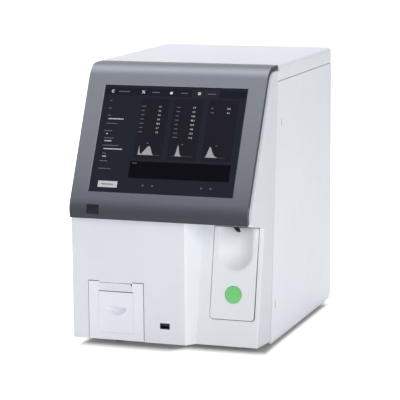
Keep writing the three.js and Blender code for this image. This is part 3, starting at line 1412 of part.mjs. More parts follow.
makeDisplay();
makeAspiration();
makeRecorder();
makePort();
makeBase();
makeMidPlate();
makePivots();
makeLocks();
makeFan();
makeRearFittings();
makeElectronics();
makeSampling();
makeBaths();
makeSyringes();
makeFluidics();
addPiece('front_cover', frontCover(), 'whitePlastic');
addPiece('top_cover', topCover(), 'whitePlastic');
addPiece('left_side_panel', prismX(sideOutline(), -halfWidth, -halfWidth + sidePanelWall), 'whitePlastic');
addPiece('right_side_door', rightSideDoor(), 'whitePlastic');

// The origin lies under the middle of the bounding box
analyzer.updateMatrixWorld(true);
const bounds = new THREE.Box3().setFromObject(analyzer);
const group = new THREE.Group();
analyzer.position.set(-(bounds.min.x + bounds.max.x) / 2, -(bounds.min.y + bounds.max.y) / 2, -bounds.min.z);
group.add(analyzer);

export default group;
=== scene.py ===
import collections
import json
import math

import bmesh
import bpy
from mathutils import Matrix, Vector

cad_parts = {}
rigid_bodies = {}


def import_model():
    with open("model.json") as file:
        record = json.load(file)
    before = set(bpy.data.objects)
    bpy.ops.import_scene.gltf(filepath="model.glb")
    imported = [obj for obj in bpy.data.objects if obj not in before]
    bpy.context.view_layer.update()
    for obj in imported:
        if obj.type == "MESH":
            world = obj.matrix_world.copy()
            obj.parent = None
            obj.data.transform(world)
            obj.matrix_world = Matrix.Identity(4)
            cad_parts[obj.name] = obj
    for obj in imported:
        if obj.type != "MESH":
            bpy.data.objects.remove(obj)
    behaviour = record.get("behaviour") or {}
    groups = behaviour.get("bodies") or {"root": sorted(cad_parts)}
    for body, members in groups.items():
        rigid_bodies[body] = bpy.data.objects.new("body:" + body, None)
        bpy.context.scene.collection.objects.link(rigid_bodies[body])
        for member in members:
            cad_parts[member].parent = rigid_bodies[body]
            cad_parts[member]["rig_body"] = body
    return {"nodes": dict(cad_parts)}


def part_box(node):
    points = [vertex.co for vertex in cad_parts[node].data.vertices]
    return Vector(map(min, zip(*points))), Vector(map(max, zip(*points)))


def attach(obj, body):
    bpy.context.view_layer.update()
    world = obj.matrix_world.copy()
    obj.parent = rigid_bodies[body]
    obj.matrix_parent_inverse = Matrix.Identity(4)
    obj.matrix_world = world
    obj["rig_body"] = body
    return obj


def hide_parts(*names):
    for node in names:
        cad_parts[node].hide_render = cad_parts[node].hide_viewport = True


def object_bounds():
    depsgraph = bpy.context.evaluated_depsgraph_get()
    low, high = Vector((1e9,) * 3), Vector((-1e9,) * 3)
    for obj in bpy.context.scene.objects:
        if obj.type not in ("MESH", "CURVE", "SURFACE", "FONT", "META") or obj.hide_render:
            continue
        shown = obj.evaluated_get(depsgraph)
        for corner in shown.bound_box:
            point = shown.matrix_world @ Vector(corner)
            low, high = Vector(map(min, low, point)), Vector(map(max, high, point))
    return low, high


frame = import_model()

bl_info = {
    "name": "Hematology analyzer",
    "version": (1, 0, 0),
    "blender": (4, 5, 0),
    "location": "View3D > Sidebar > Analyzer",
    "description": "Dresses the analyzer's solids with finished surfaces, a lit display and a studio",
    "category": "Object",
}

CAD_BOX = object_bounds()
MM = 0.001

# The solids are drawn from the flat front face, the middle plane and the floor; this is where that
# point lies in the frame.
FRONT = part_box("recorder_frame")[0] - Vector((-108.9, 0.0, 12.0)) * MM


def at(x, y, z):
    """A point given in millimetres from the middle plane, the flat front face and the floor."""
    return FRONT + Vector((x, y, z)) * MM


def tilted(tilt):
    """Turns a drawing's across, up and outward axes into a plane that leans back by an angle."""
    return Matrix(((1, 0, 0), (0, math.sin(tilt), -math.cos(tilt)), (0, math.cos(tilt), math.sin(tilt)))).to_4x4()


# From millimetres as at() takes them to the frame, and the same for outlines drawn in X and height, which grow
# forwards, and for outlines drawn in Y and height, which grow to the right.
IN_MM = Matrix.Translation(FRONT) @ Matrix.Scale(MM, 4)
FACING = IN_MM @ Matrix(((1, 0, 0), (0, 0, -1), (0, 1, 0))).to_4x4()
SIDEWAYS = IN_MM @ Matrix(((0, 0, 1), (1, 0, 0), (0, 1, 0))).to_4x4()


def length(name, description, default):
    return bpy.props.FloatProperty(name=name, description=description, default=default, unit="LENGTH")


def colour(name, description, default):
    return bpy.props.StringProperty(name=name, description=description, default=default)


class DisplaySizes(bpy.types.PropertyGroup):
    tilt: bpy.props.FloatProperty(
        name="Tilt", description="Lean of the screen from upright", default=math.radians(26.9), subtype="ANGLE")
    foot_y: length("Foot depth", "Depth of the lit area's lower edge", -0.004)
    foot_z: length("Foot height", "Height of the lit area's lower edge", 0.2238)
    width: length("Width", "Width of the lit area", 0.2112)
    height: length("Height", "Height of the lit area along the slope", 0.1584)
    row_pitch: length("Row pitch", "Distance between two result lines", 0.00635)
    glow: bpy.props.FloatProperty(
        name="Glow", description="Strength of the display's light", default=0.75, min=0.0)


class SamplePanelSizes(bpy.types.PropertyGroup):
    centre_x: length("Centre", "Panel's middle, from the analyzer's middle plane", 0.095)
    tilt: bpy.props.FloatProperty(
        name="Tilt", description="Lean of the panel from upright", default=math.radians(11.3), subtype="ANGLE")
    foot_y: length("Foot depth", "Depth of the panel's plane at the cover's foot", 0.0166)
    foot_z: length("Foot height", "Height of the cover's foot", 0.012)
    width: length("Width", "Width of the panel", 0.0646)
    low: length("Lower edge", "Lower edge, up the slope from the foot", 0.036)
    high: length("Upper edge", "Upper edge, up the slope from the foot", 0.1644)
    corner: length("Corners", "Radius of the lower corners", 0.004)
    pocket_radius: length("Pocket radius", "Half width of the tube pocket", 0.0245)
    pocket_rise: length("Pocket centre", "Centre of its round end, up the slope", 0.129)
    pocket_depth: length("Pocket depth", "Depth along the pocket's middle", 0.0135)
    pocket_lip: length("Pocket lip", "How softly the pocket's rim is rolled", 0.0018)
    taper: length("Taper", "How far the right edge leans in at its foot", 0.001)
    button_rise: length("Button height", "Centre of the button, up the slope", 0.0708)
    button_hole: length("Button hole", "Radius of the button's hole", 0.0123)


class RecorderSizes(bpy.types.PropertyGroup):
    pivot_height: length("Hinge height", "Height of the paper door's hinge", 0.0258)
    foot_radius: length("Foot groove", "Radius that the door's foot sweeps", 0.00465)
    outer_gap: length("Outer gap", "Extra gap round the recorder at its top and right", 0.0003)
    side_fill: length("Door width", "How far the door fills the gap at each side", 0.00042)
    scoop_top: length("Scoop ledge", "Height of the ledge over the finger scoop", 0.0597)
    scoop_height: length("Scoop height", "Height of the finger scoop", 0.0115)
    scoop_width: length("Scoop width", "Width of the finger scoop", 0.031)
    scoop_depth: length("Scoop depth", "Depth of the scoop under its ledge", 0.006)


class FinishColours(bpy.types.PropertyGroup):
    shell: colour("Shell", "sRGB colour of the moulded covers", "#dcdee6")
    # The recess colour is fitted to the light that falls in the recess: painted light and shade.
    recess: colour("Recess", "sRGB colour of the recess and its insert", "#e0e3e7")
    bezel: colour("Bezel", "sRGB colour of the lacquered bezel", "#7f838b")
    button: colour("Start button", "sRGB colour of the start button", "#72cb78")
    screen: colour("Screen", "sRGB colour of the display's ground", "#272a35")


class SoftEdges(bpy.types.PropertyGroup):
    cover: length("Covers", "Radius on the covers' outer edges", 0.0012)
    foot: length("Cover foot", "Radius on the front cover's lower edges", 0.004)
    small: length("Small parts", "Radius on small moulded parts", 0.0004)
    sheet: length("Sheet metal", "Radius on sheet metal edges", 0.0003)


def settings(name):
    return getattr(bpy.context.scene, name)


# ---- helpers for colours and node trees


def linear(code):
    """An sRGB hex colour as linear RGBA."""
    channels = [int(code[i:i + 2], 16) / 255 for i in (1, 3, 5)]
    return tuple(c / 12.92 if c <= 0.04045 else ((c + 0.055) / 1.055) ** 2.4 for c in channels) + (1.0,)


def add(tree, kind, values=None, links=None, **attributes):
    """Adds a node to a tree, with its settings, its input values and the links into it."""
    node = tree.nodes.new(kind)
    for key, value in attributes.items():
        setattr(node, key, value)
    for key, value in (values or {}).items():
        node.inputs[key].default_value = value
    for key, source in (links or {}).items():
        tree.links.new(source, node.inputs[key])
    return node


def principled(name, **values):
    """A new material with one Principled shader. Returns the material, its tree and the shader."""
    material = bpy.data.materials.new(name)
    material.use_nodes = True
    tree = material.node_tree
    tree.nodes.clear()
    shader = add(tree, "ShaderNodeBsdfPrincipled", values={k.replace("_", " "): v for k, v in values.items()})
    add(tree, "ShaderNodeOutputMaterial", links={"Surface": shader.outputs["BSDF"]})
    return material, tree, shader


def set_stops(ramp, stops):
    """Gives a colour ramp its stops, as pairs of a place and a colour."""
    for place, _ in stops[1:-1]:
        ramp.elements.new(place)
    for element, (place, tone) in zip(ramp.elements, stops):
        element.position = place
        element.color = tone


def grain(tree, shader, size, height, stretch=(1, 1, 1)):
    """A bump of soft grains, their size and height in metres."""
    place = add(tree, "ShaderNodeTexCoord")
    scaled = add(tree, "ShaderNodeMapping", links={"Vector": place.outputs["Object"]},
                 values={"Scale": tuple(1 / (size * s) for s in stretch)})
    noise = add(tree, "ShaderNodeTexNoise", links={"Vector": scaled.outputs["Vector"]},
                values={"Scale": 1.0, "Detail": 2.0, "Roughness": 0.55})
    bump = add(tree, "ShaderNodeBump", links={"Height": noise.outputs["Fac"]},
               values={"Strength": 1.0, "Distance": height})
    tree.links.new(bump.outputs["Normal"], shader.inputs["Normal"])


def mottle(tree, shader, socket, size, low, high, detail=3.0):
    """Lets a socket wander between two values or colours over patches of a given size in metres."""
    place = add(tree, "ShaderNodeTexCoord")
    noise = add(tree, "ShaderNodeTexNoise", links={"Vector": place.outputs["Object"]},
                values={"Scale": 1 / size, "Detail": detail, "Roughness": 0.6})
    ramp = add(tree, "ShaderNodeValToRGB", links={"Fac": noise.outputs["Fac"]})
    low, high = (tone if isinstance(tone, tuple) else (tone, tone, tone, 1) for tone in (low, high))
    set_stops(ramp.color_ramp, ((0.35, low), (0.65, high)))
    tree.links.new(ramp.outputs["Color"], shader.inputs[socket])
    return ramp


def shade(code, factor):
    """A linear colour made darker or lighter by a factor."""
    r, g, b, a = linear(code)
    return (min(1, r * factor), min(1, g * factor), min(1, b * factor), a)


MATERIALS = {}


def surface(key, name, low, high, patch, grains=None, stretch=(1, 1, 1), **values):
    """Makes a material whose colour wanders between two tones over patches.

    The patches' size is in metres, and grains are given as their size and height in metres.
    """
    material, tree, shader = principled(name, **values)
    mottle(tree, shader, "Base Color", patch, low, high)
    if grains:
        grain(tree, shader, *grains, stretch)
    MATERIALS[key] = material
    return tree, shader


def make_materials():
    moulded_materials(settings("analyzer_colours"))
    bezel_material(settings("analyzer_colours").bezel)
    bought_materials()
    lit_materials(settings("analyzer_colours").screen, settings("analyzer_display").glow)


def moulded_materials(colours):
    # Injection-moulded ABS, spark-eroded tool: an even satin with a fine orange-peel grain.
    # The real grain is about 0.1 mm; it is drawn at 0.6 mm so that it shows.
    erosion, patch = 0.0006, 0.09
    tree, shader = surface("shell", "moulded ABS, white satin", shade(colours.shell, 0.975), shade(colours.shell, 1.0),
                           patch=patch, grains=(erosion, 0.000012), Roughness=0.42, IOR=1.53)
    mottle(tree, shader, "Roughness", 0.02, 0.38, 0.47, detail=4.0)

    # The same ABS with painted light and shade: where the photo shows it in another tone because of how the light
    # falls there, its colour is made lighter or darker. Each tone is fitted to the photo.
    for key, code, low, high, roughness, height in (
            # the cheeks beside the screen, a shade darker: painted shade
            ("cheek", colours.shell, 0.85, 0.875, 0.48, 0.000014),
            # the recorder's two mouldings, slightly lighter: painted light
            ("recorder", colours.shell, 1.06, 1.08, 0.46, 0.000012),
            # the insert and the back of its recess, a little less blue: a tone fitted to the light in the recess,
            # painted light and shade
            ("recess", colours.recess, 0.98, 1.0, 0.46, 0.000012),
            # the recess's side wall, the brightest face: painted light
            ("recess wall", colours.recess, 1.04, 1.055, 0.42, 0.00001)):
        surface(key, "moulded ABS, white satin, " + key, shade(code, low), shade(code, high), patch=patch,
                grains=(erosion, height), Roughness=roughness, IOR=1.53)

    # Polycarbonate button, moulded in colour, with a faint unevenness from the tool.
    surface("button", "polycarbonate, green", shade(colours.button, 0.96), shade(colours.button, 1.03), patch=0.004,
            grains=(0.0008, 0.000006), Roughness=0.3, IOR=1.58, Subsurface_Weight=0.15,
            Subsurface_Radius=(0.0006, 0.001, 0.0006))

    # Black ABS for sockets, motors and fans: satin with a fine grain.
    surface("black", "moulded ABS, black", linear("#121316"), linear("#1b1c20"), patch=0.01, grains=(erosion, 0.00002),
            Roughness=0.5, IOR=1.53)

    # Natural rubber, moulded: matt and slightly dusty.
    surface("rubber", "moulded rubber", linear("#1a1a1b"), linear("#262627"), patch=0.004, grains=(0.0005, 0.00004),
            Roughness=0.85, IOR=1.5)


# Painted shade on the lacquer, falling towards the bezel's foot as in the photo: share of the height, share of the
# tone.
BEZEL_PAINTED_SHADE = ((0.0, 0.18), (0.04, 0.21), (0.085, 0.39), (0.135, 0.64), (0.27, 0.85), (0.46, 0.97), (0.72, 1.1),
              (1.0, 1.16))


def bezel_material(code):
    # ABS under a silver-grey metallic lacquer: fine flakes that break up the highlight.
    # The photo shows it darker at the foot than at the top; the colour carries this as painted shade, darker with
    # falling height.
    tree, shader = surface("bezel", "metallic lacquer on ABS, grey, painted shade", shade("#ffffff", 0.9), shade("#ffffff", 1.0),
                           patch=0.0009, grains=(0.0005, 0.000006), Metallic=0.6, Roughness=0.34, IOR=1.5,
                           Coat_Weight=0.2, Coat_Roughness=0.2)
    flakes = shader.inputs["Base Color"].links[0].from_socket
    place = add(tree, "ShaderNodeTexCoord")
    axes = add(tree, "ShaderNodeSeparateXYZ", links={"Vector": place.outputs["Object"]})
    low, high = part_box("display_bezel")
    rise = add(tree, "ShaderNodeMapRange", links={"Value": axes.outputs["Z"]},
               values={"From Min": low.z, "From Max": high.z})
    painted_shade_fade = add(tree, "ShaderNodeValToRGB", links={"Fac": rise.outputs["Result"]})
    stops = []
    for share, level in BEZEL_PAINTED_SHADE:
        red, green, blue, alpha = shade(code, level)
        # In the photo the lacquer reads bluer where it is darker, so the painted shade is bluer too.
        stops.append((share, (red, green, blue * (1.2 - 0.18 * min(1.0, level)), alpha)))
    set_stops(painted_shade_fade.color_ramp, stops)
    # Inputs 6 and 7 are the Mix node's two colours, and output 2 is the colour that it gives.
    shaded_lacquer = add(tree, "ShaderNodeMix", values={"Factor": 1.0}, links={6: painted_shade_fade.outputs["Color"], 7: flakes},
               data_type="RGBA", blend_type="MULTIPLY")
    tree.links.new(shaded_lacquer.outputs[2], shader.inputs["Base Color"])

    # Dark grey and dull: the bezel's cut ends, nearly black in the photo, and the floors of the locks' slots, where it
    # is painted shade.
    surface("dark ends and painted slot shade", "dark grey ABS, ends and painted slot shade", linear("#303238"), linear("#3a3c43"),
            patch=0.002, grains=(0.0005, 0.00001), Roughness=0.6, IOR=1.53)


def bought_materials():
    # Smoked polycarbonate over an indicator: dark and smooth, with a soft gloss.
    surface("smoked", "smoked polycarbonate", linear("#16181d"), linear("#1c1e24"), patch=0.006, Roughness=0.3,
            IOR=1.58, Specular_IOR_Level=0.2)

    # Display glass over its black border: almost black, with little left to mirror.
    surface("glass", "display glass, black print behind", linear("#101118"), linear("#14151d"), patch=0.05,
            Roughness=0.2, IOR=1.52, Specular_IOR_Level=0.03)

    # Zinc-plated sheet steel: pale grey with the large soft spangle of the plating.
    tree, shader = surface("zinc", "zinc-plated sheet steel", linear("#a3a8ac"), linear("#aeb3b7"), patch=0.012,
                           Metallic=0.9, Roughness=0.42)
    mottle(tree, shader, "Roughness", 0.01, 0.4, 0.48)

    # Ground stainless steel: a fine directional brushing.
    surface("steel", "ground stainless steel", linear("#b9bbbd"), linear("#cbccce"), patch=0.003,
            grains=(0.0004, 0.000008), stretch=(1, 1, 12), Metallic=1.0, Roughness=0.28)

    # Clear anodised aluminium, milled: satin with faint tool marks about 1 mm apart.
    surface("aluminium", "anodised aluminium, clear", linear("#bfc2c5"), linear("#cdd0d2"), patch=0.012,
            grains=(0.001, 0.00001), stretch=(1, 6, 1), Metallic=1.0, Roughness=0.36)

    # Thermal paper on the roll: soft warm white with a fine tooth.
    surface("paper", "thermal paper", linear("#efeee8"), linear("#f8f7f2"), patch=0.003, grains=(0.0003, 0.00002),
            Roughness=0.9, IOR=1.45)

    # Glass-fibre board under green solder mask: a half gloss, a little uneven over the weave.
    surface("board", "glass-fibre board, green mask", linear("#174a30"), linear("#226040"), patch=0.012,
            grains=(0.0008, 0.00001), Roughness=0.4, IOR=1.55)

    # Cast acrylic: clear and glossy, a little milky where it is thick.
    surface("acrylic", "cast acrylic, clear", linear("#d5e3e8"), linear("#e3eef1"), patch=0.02, Roughness=0.08,
            IOR=1.49, Alpha=0.45)

    # Borosilicate glass tube, drawn: clear with faint lengthwise lines.
    surface("tube", "borosilicate glass tube", linear("#dfe9ea"), linear("#eef4f5"), patch=0.02,
            grains=(0.002, 0.00001), stretch=(1, 1, 20), Roughness=0.04, IOR=1.47, Alpha=0.35)


# What the display shows, in the order of the picture's materials, with sRGB colours. The ground's is a property.
SHOWN = {"lit ground": None, "lit panel": "#23222c", "lit header": "#1f222c", "lit tab": "#2e2f37",
         "lit box": "#070510", "lit bright": "#f1f2f6", "lit faint text": "#7e818c", "lit curve": "#b9b7bd",
         "lit key": "#dcdde3"}


def lit_materials(ground, glow):
    # The display's picture, lit from behind, under the same glass.
    for key, code in SHOWN.items():
        _, shader = surface(key, "display " + key, linear("#060608"), linear("#08080b"), patch=0.05,
                            Roughness=0.2, IOR=1.52, Specular_IOR_Level=0.03, Emission_Strength=glow)
        shader.inputs["Emission Color"].default_value = linear(code or ground)


# ---- helpers for shapes


def put(name, data):
    """A new object in the scene."""
    item = bpy.data.objects.new(name, data)
    bpy.context.scene.collection.objects.link(item)
    return item


def baked(item):
    """An object's mesh with its modifiers applied; the object is removed."""
    bpy.context.view_layer.update()
    mesh = bpy.data.meshes.new_from_object(item.evaluated_get(bpy.context.evaluated_depsgraph_get()))
    bpy.data.objects.remove(item)
    return mesh


def finished(name, mesh, node, *materials):
    """Makes a mesh a piece that rides on a node's body, with the materials that it is given."""
    piece = put(name, mesh)
    for key in materials:
        piece.data.materials.append(MATERIALS[key])
    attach(piece, body_of(node))
    return piece


def body_of(node):
    return frame["nodes"][node]["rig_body"]


# Solids with flat faces that run round an opening.
RINGED = {"display_bezel", "fan_frame", "fan_guard", "power_supply"}

# Faces at less than the first angle are one flat face. Edges over the second are rounded or kept sharp, and over
# the third on rounder pieces. Corners closer than the next are one corner, and points are level within the last,
# in metres.
FLAT = math.radians(0.6)
SHARP = math.radians(32)
ROUND = math.radians(40)
MERGED = 3e-6
SNAP = 0.0001


def merged_copy(node):
    """A copy of a solid's mesh with its corners merged and its flat faces joined.

    Flat faces that run round an opening are split again, so that none closes over it.
    """
    mesh = frame["nodes"][node].data.copy()
    shape = bmesh.new()
    shape.from_mesh(mesh)
    bmesh.ops.remove_doubles(shape, verts=shape.verts, dist=MERGED)
    bmesh.ops.dissolve_limit(shape, angle_limit=FLAT, verts=shape.verts, edges=shape.edges, delimit=set())
    if node in RINGED:
        bmesh.ops.triangulate(shape, faces=[f for f in shape.faces if len(f.verts) > 4], ngon_method="BEAUTY")
    shape.to_mesh(mesh)
    shape.free()
    mesh.materials.clear()
    return mesh


def smooth(mesh, angle=SHARP):
    mesh.polygons.foreach_set("use_smooth", [True] * len(mesh.polygons))
    mesh.set_sharp_from_angle(angle=angle)


def soften(piece, width, segments=3):
    """Rounds a piece's edges by a width in metres."""
    smooth(piece.data)
    bevel = piece.modifiers.new("edge radius", "BEVEL")
    bevel.width = width
    bevel.segments = segments
    bevel.limit_method = "ANGLE"
    bevel.angle_limit = SHARP
    bevel.use_clamp_overlap = True
    bevel.miter_outer = "MITER_ARC"
    bevel.harden_normals = False
    normals = piece.modifiers.new("even shading", "WEIGHTED_NORMAL")
    normals.keep_sharp = False
    normals.weight = 80


def stand_in(node, mesh, materials, width, segments=3):
    """The piece that stands for a solid, with rounded edges."""
    piece = finished(node + "_finished", mesh, node, *materials)
    soften(piece, width, segments)
    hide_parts(node)
    return piece


def dressed(node, material, width, segments=3):
    """A refined copy of a solid that stands for it, with rounded edges."""
    return stand_in(node, merged_copy(node), (material,), width, segments)


def prism(shape, outline, low, high, matrix, material=0):
    """Adds a closed prism over an outline of (x, y) points to a bmesh, placed by a matrix."""
    bottom = [shape.verts.new(matrix @ Vector((x, y, low))) for x, y in outline]
    top = [shape.verts.new(matrix @ Vector((x, y, high))) for x, y in outline]
    faces = [shape.faces.new(top), shape.faces.new(bottom[::-1])]
    for i in range(len(outline)):
        j = (i + 1) % len(outline)
        faces.append(shape.faces.new((bottom[i], bottom[j], top[j], top[i])))
    for face in faces:
        face.material_index = material


def cut(mesh, *tools):
    """A mesh with closed tool meshes cut out of it; all of them are used up."""
    body = put("cut body", mesh)
    cutters = [put("cutter", tool) for tool in tools]
    for cutter in cutters:
        modifier = body.modifiers.new("cut", "BOOLEAN")
        modifier.operation = "DIFFERENCE"
        modifier.solver = "EXACT"
        modifier.object = cutter
    result = baked(body)
    for cutter in cutters:
        bpy.data.objects.remove(cutter)
    for used in (mesh, *tools):
        bpy.data.meshes.remove(used)
    return result


# The front's lower edges lie below this height, in mm.
COVER_FOOT = 13.5


def rounded_foot(shape, radius):
    """Rounds the outer lower edges of a moulding in a bmesh."""
    foot = [edge for edge in shape.edges if len(edge.link_faces) == 2
            and any(face.normal.z < -0.9 for face in edge.link_faces)
            and any(abs(face.normal.z) < 0.5 for face in edge.link_faces)
            and edge.is_convex and max(v.co.z for v in edge.verts) < at(0, 0, COVER_FOOT).z]
    bmesh.ops.bevel(shape, geom=foot, offset=radius, segments=5, profile=0.5, affect="EDGES", clamp_overlap=True)


def mesh_of(shape, name):
    """Turns a bmesh into a mesh and frees it."""
    mesh = bpy.data.meshes.new(name)
    shape.to_mesh(mesh)
    shape.free()
    return mesh


def take_in(shape, mesh):
    """Adds a mesh to a bmesh; the mesh is used up."""
    shape.from_mesh(mesh)
    bpy.data.meshes.remove(mesh)


def skin(shape, front, back):
    """Closes a moulding in a bmesh between two grids of vertices, whose rows run up from its foot."""
    last = len(front[0]) - 1
    for j in range(len(front) - 1):
        for i in range(last):
            shape.faces.new((front[j][i], front[j][i + 1], front[j + 1][i + 1], front[j + 1][i]))
            shape.faces.new((back[j][i], back[j + 1][i], back[j + 1][i + 1], back[j][i + 1]))
        shape.faces.new((front[j][0], front[j + 1][0], back[j + 1][0], back[j][0]))
        shape.faces.new((front[j][last], back[j][last], back[j + 1][last], front[j + 1][last]))
    for i in range(last):
        shape.faces.new((front[0][i], back[0][i], back[0][i + 1], front[0][i + 1]))
        shape.faces.new((front[-1][i], front[-1][i + 1], back[-1][i + 1], back[-1][i]))


def rectangle(x0, x1, y0, y1):
    return [(x0, y0), (x1, y0), (x1, y1), (x0, y1)]


def arc(x, y, radius, first, last, step):
    """Points on a circle, from one angle up to another in degrees."""
    return [(x + radius * math.cos(math.radians(a)), y + radius * math.sin(math.radians(a)))
            for a in range(first, last, step)]


def disc(x, y, radius, steps=24):
    return [(x + radius * math.cos(2 * math.pi * i / steps), y + radius * math.sin(2 * math.pi * i / steps))
            for i in range(steps)]


def screen_matrix():
    """From millimetres across and up the lit area, and out of it, to the frame."""
    sizes = settings("analyzer_display")
    corner = FRONT + Vector((-sizes.width / 2, sizes.foot_y, sizes.foot_z))
    return Matrix.Translation(corner) @ tilted(sizes.tilt) @ Matrix.Scale(MM, 4)


# ---- geometry nodes, for what repeats


def node_tree(name, sizes):
    """A geometry tree with named inputs; returns it with what they give and its output node."""
    tree = bpy.data.node_groups.new(name, "GeometryNodeTree")
    tree.interface.new_socket("Geometry", in_out="INPUT", socket_type="NodeSocketGeometry")
    for key, kind, default in sizes:
        tree.interface.new_socket(key, in_out="INPUT", socket_type=kind).default_value = default
    tree.interface.new_socket("Material", in_out="INPUT", socket_type="NodeSocketMaterial")
    tree.interface.new_socket("Geometry", in_out="OUTPUT", socket_type="NodeSocketGeometry")
    return tree, tree.nodes.new("NodeGroupInput").outputs, tree.nodes.new("NodeGroupOutput")


def stood(tree, given, points, shape):
    """Sets a shape on every point, with its Z along the tree's axis."""
    way = add(tree, "FunctionNodeAlignRotationToVector", links={"Vector": given["Axis"]}, axis="Z")
    return add(tree, "GeometryNodeInstanceOnPoints", links={
        "Points": points, "Instance": shape, "Rotation": way.outputs["Rotation"]})


def spun(tree, placed, angle):
    """Turns each instance about its own Z by an angle."""
    spin = add(tree, "ShaderNodeCombineXYZ", links={"Z": angle})
    return add(tree, "GeometryNodeRotateInstances", links={
        "Instances": placed.outputs["Instances"], "Rotation": spin.outputs["Vector"]}, values={"Local Space": True})


def ended(tree, given, source, output):
    """Closes a tree: instances made real, then the material."""
    real = add(tree, "GeometryNodeRealizeInstances", links={"Geometry": source})
    coated = add(tree, "GeometryNodeSetMaterial", links={
        "Geometry": real.outputs["Geometry"], "Material": given["Material"]})
    tree.links.new(coated.outputs["Geometry"], output.inputs["Geometry"])
    return tree


# A screw's crown and the length and width of its recess's two blades, as shares of its radius.
CROWN, BLADE = 0.72, (1.05, 0.24)


def screw_tree():
    """Pan heads with a cross recess on every point, each turned at random about its axis."""
    tree, given, output = node_tree("pan head screws", (
        ("Radius", "NodeSocketFloat", 0.003), ("Height", "NodeSocketFloat", 0.0016),
        ("Axis", "NodeSocketVector", (0.0, 0.0, 1.0)), ("Seed", "NodeSocketInt", 1)))
    crown = add(tree, "ShaderNodeMath", links={0: given["Radius"]}, values={1: CROWN}, operation="MULTIPLY")
    head = add(tree, "GeometryNodeMeshCone", links={
        "Radius Bottom": given["Radius"], "Radius Top": crown.outputs["Value"],
        "Depth": given["Height"]}, values={"Vertices": 28})
    blade_length, blade_width = (
        add(tree, "ShaderNodeMath", links={0: given["Radius"]}, values={1: share}, operation="MULTIPLY")
        for share in BLADE)
    blades = []
    for first, second in ((blade_length, blade_width), (blade_width, blade_length)):
        size = add(tree, "ShaderNodeCombineXYZ", links={
            "X": first.outputs["Value"], "Y": second.outputs["Value"], "Z": given["Height"]})
        cube = add(tree, "GeometryNodeMeshCube", links={"Size": size.outputs["Vector"]})
        lift = add(tree, "ShaderNodeCombineXYZ", links={"Z": given["Height"]})
        blades.append(add(tree, "GeometryNodeTransform", links={
            "Geometry": cube.outputs["Mesh"], "Translation": lift.outputs["Vector"]}))
    recess = add(tree, "GeometryNodeMeshBoolean", operation="DIFFERENCE", links={"Mesh 1": head.outputs["Mesh"]})
    for blade in blades:
        tree.links.new(blade.outputs["Geometry"], recess.inputs["Mesh 2"])
    placed = stood(tree, given, given["Geometry"], recess.outputs["Mesh"])
    angle = add(tree, "FunctionNodeRandomValue", links={"Seed": given["Seed"]}, values={3: math.pi},
                data_type="FLOAT")
    return ended(tree, given, spun(tree, placed, angle.outputs[1]).outputs["Instances"], output)


def ring_tree():
    """Equal rings at even steps along a line."""
    tree, given, output = node_tree("rings along a line", (
        ("Count", "NodeSocketInt", 5), ("Radius", "NodeSocketFloat", 0.01), ("Wire", "NodeSocketFloat", 0.0005),
        ("Start", "NodeSocketVector", (0.0, 0.0, 0.0)), ("Step", "NodeSocketVector", (0.0, 0.0, 0.005)),
        ("Axis", "NodeSocketVector", (0.0, 0.0, 1.0))))
    line = add(tree, "GeometryNodeMeshLine", mode="OFFSET", links={
        "Count": given["Count"], "Start Location": given["Start"], "Offset": given["Step"]})
    path = add(tree, "GeometryNodeCurvePrimitiveCircle", links={"Radius": given["Radius"]},
               values={"Resolution": 48})
    wire = add(tree, "GeometryNodeCurvePrimitiveCircle", links={"Radius": given["Wire"]},
               values={"Resolution": 8})
    ring = add(tree, "GeometryNodeCurveToMesh", links={
        "Curve": path.outputs["Curve"], "Profile Curve": wire.outputs["Curve"]})
    placed = stood(tree, given, line.outputs["Mesh"], ring.outputs["Mesh"])
    return ended(tree, given, placed.outputs["Instances"], output)


def thread_tree():
    """A right-hand screw thread with several starts: round ridges wound about an axis, spaced evenly round it."""
    tree, given, output = node_tree("screw thread", (
        ("Starts", "NodeSocketInt", 4), ("Turns", "NodeSocketFloat", 10.0), ("Radius", "NodeSocketFloat", 0.003),
        ("Ridge", "NodeSocketFloat", 0.0005), ("Length", "NodeSocketFloat", 0.1),
        ("Start", "NodeSocketVector", (0.0, 0.0, 0.0)), ("Axis", "NodeSocketVector", (0.0, 0.0, 1.0))))
    path = add(tree, "GeometryNodeCurveSpiral", links={
        "Rotations": given["Turns"], "Start Radius": given["Radius"],
        "End Radius": given["Radius"], "Height": given["Length"]},
        values={"Resolution": 40, "Reverse": True})
    wire = add(tree, "GeometryNodeCurvePrimitiveCircle", links={"Radius": given["Ridge"]},
               values={"Resolution": 6})
    ridge = add(tree, "GeometryNodeCurveToMesh", links={
        "Curve": path.outputs["Curve"], "Profile Curve": wire.outputs["Curve"]}, values={"Fill Caps": True})
    roots = add(tree, "GeometryNodeMeshLine", mode="OFFSET", values={"Offset": (0.0, 0.0, 0.0)}, links={
        "Count": given["Starts"], "Start Location": given["Start"]})
    placed = stood(tree, given, roots.outputs["Mesh"], ridge.outputs["Mesh"])
    index = add(tree, "GeometryNodeInputIndex")
    share = add(tree, "ShaderNodeMath", links={0: index.outputs["Index"], 1: given["Starts"]},
                operation="DIVIDE")
    angle = add(tree, "ShaderNodeMath", links={0: share.outputs["Value"]}, values={1: 2 * math.pi},
                operation="MULTIPLY")
    return ended(tree, given, spun(tree, placed, angle.outputs["Value"]).outputs["Instances"], output)


def grown(tree, name, node, material, values, points=()):
    """Runs a tree over some points and keeps the result as a plain mesh that rides with a node."""
    seed = bpy.data.meshes.new(name)
    seed.from_pydata([tuple(point) for point in points], [], [])
    holder = put(name + " holder", seed)
    modifier = holder.modifiers.new("grown", "NODES")
    modifier.node_group = tree
    for item in tree.interface.items_tree:
        if item.in_out == "INPUT" and item.name in values:
            modifier[item.identifier] = values[item.name]
        elif item.in_out == "INPUT" and item.name == "Material":
            modifier[item.identifier] = MATERIALS[material]
    holder.update_tag()
    mesh = baked(holder)
    bpy.data.meshes.remove(seed)
    if not mesh.polygons:
        raise RuntimeError(name + " came out empty")
    mesh.name = name
    mesh.materials.clear()
    smooth(mesh, ROUND)
    return finished(name, mesh, node, material)
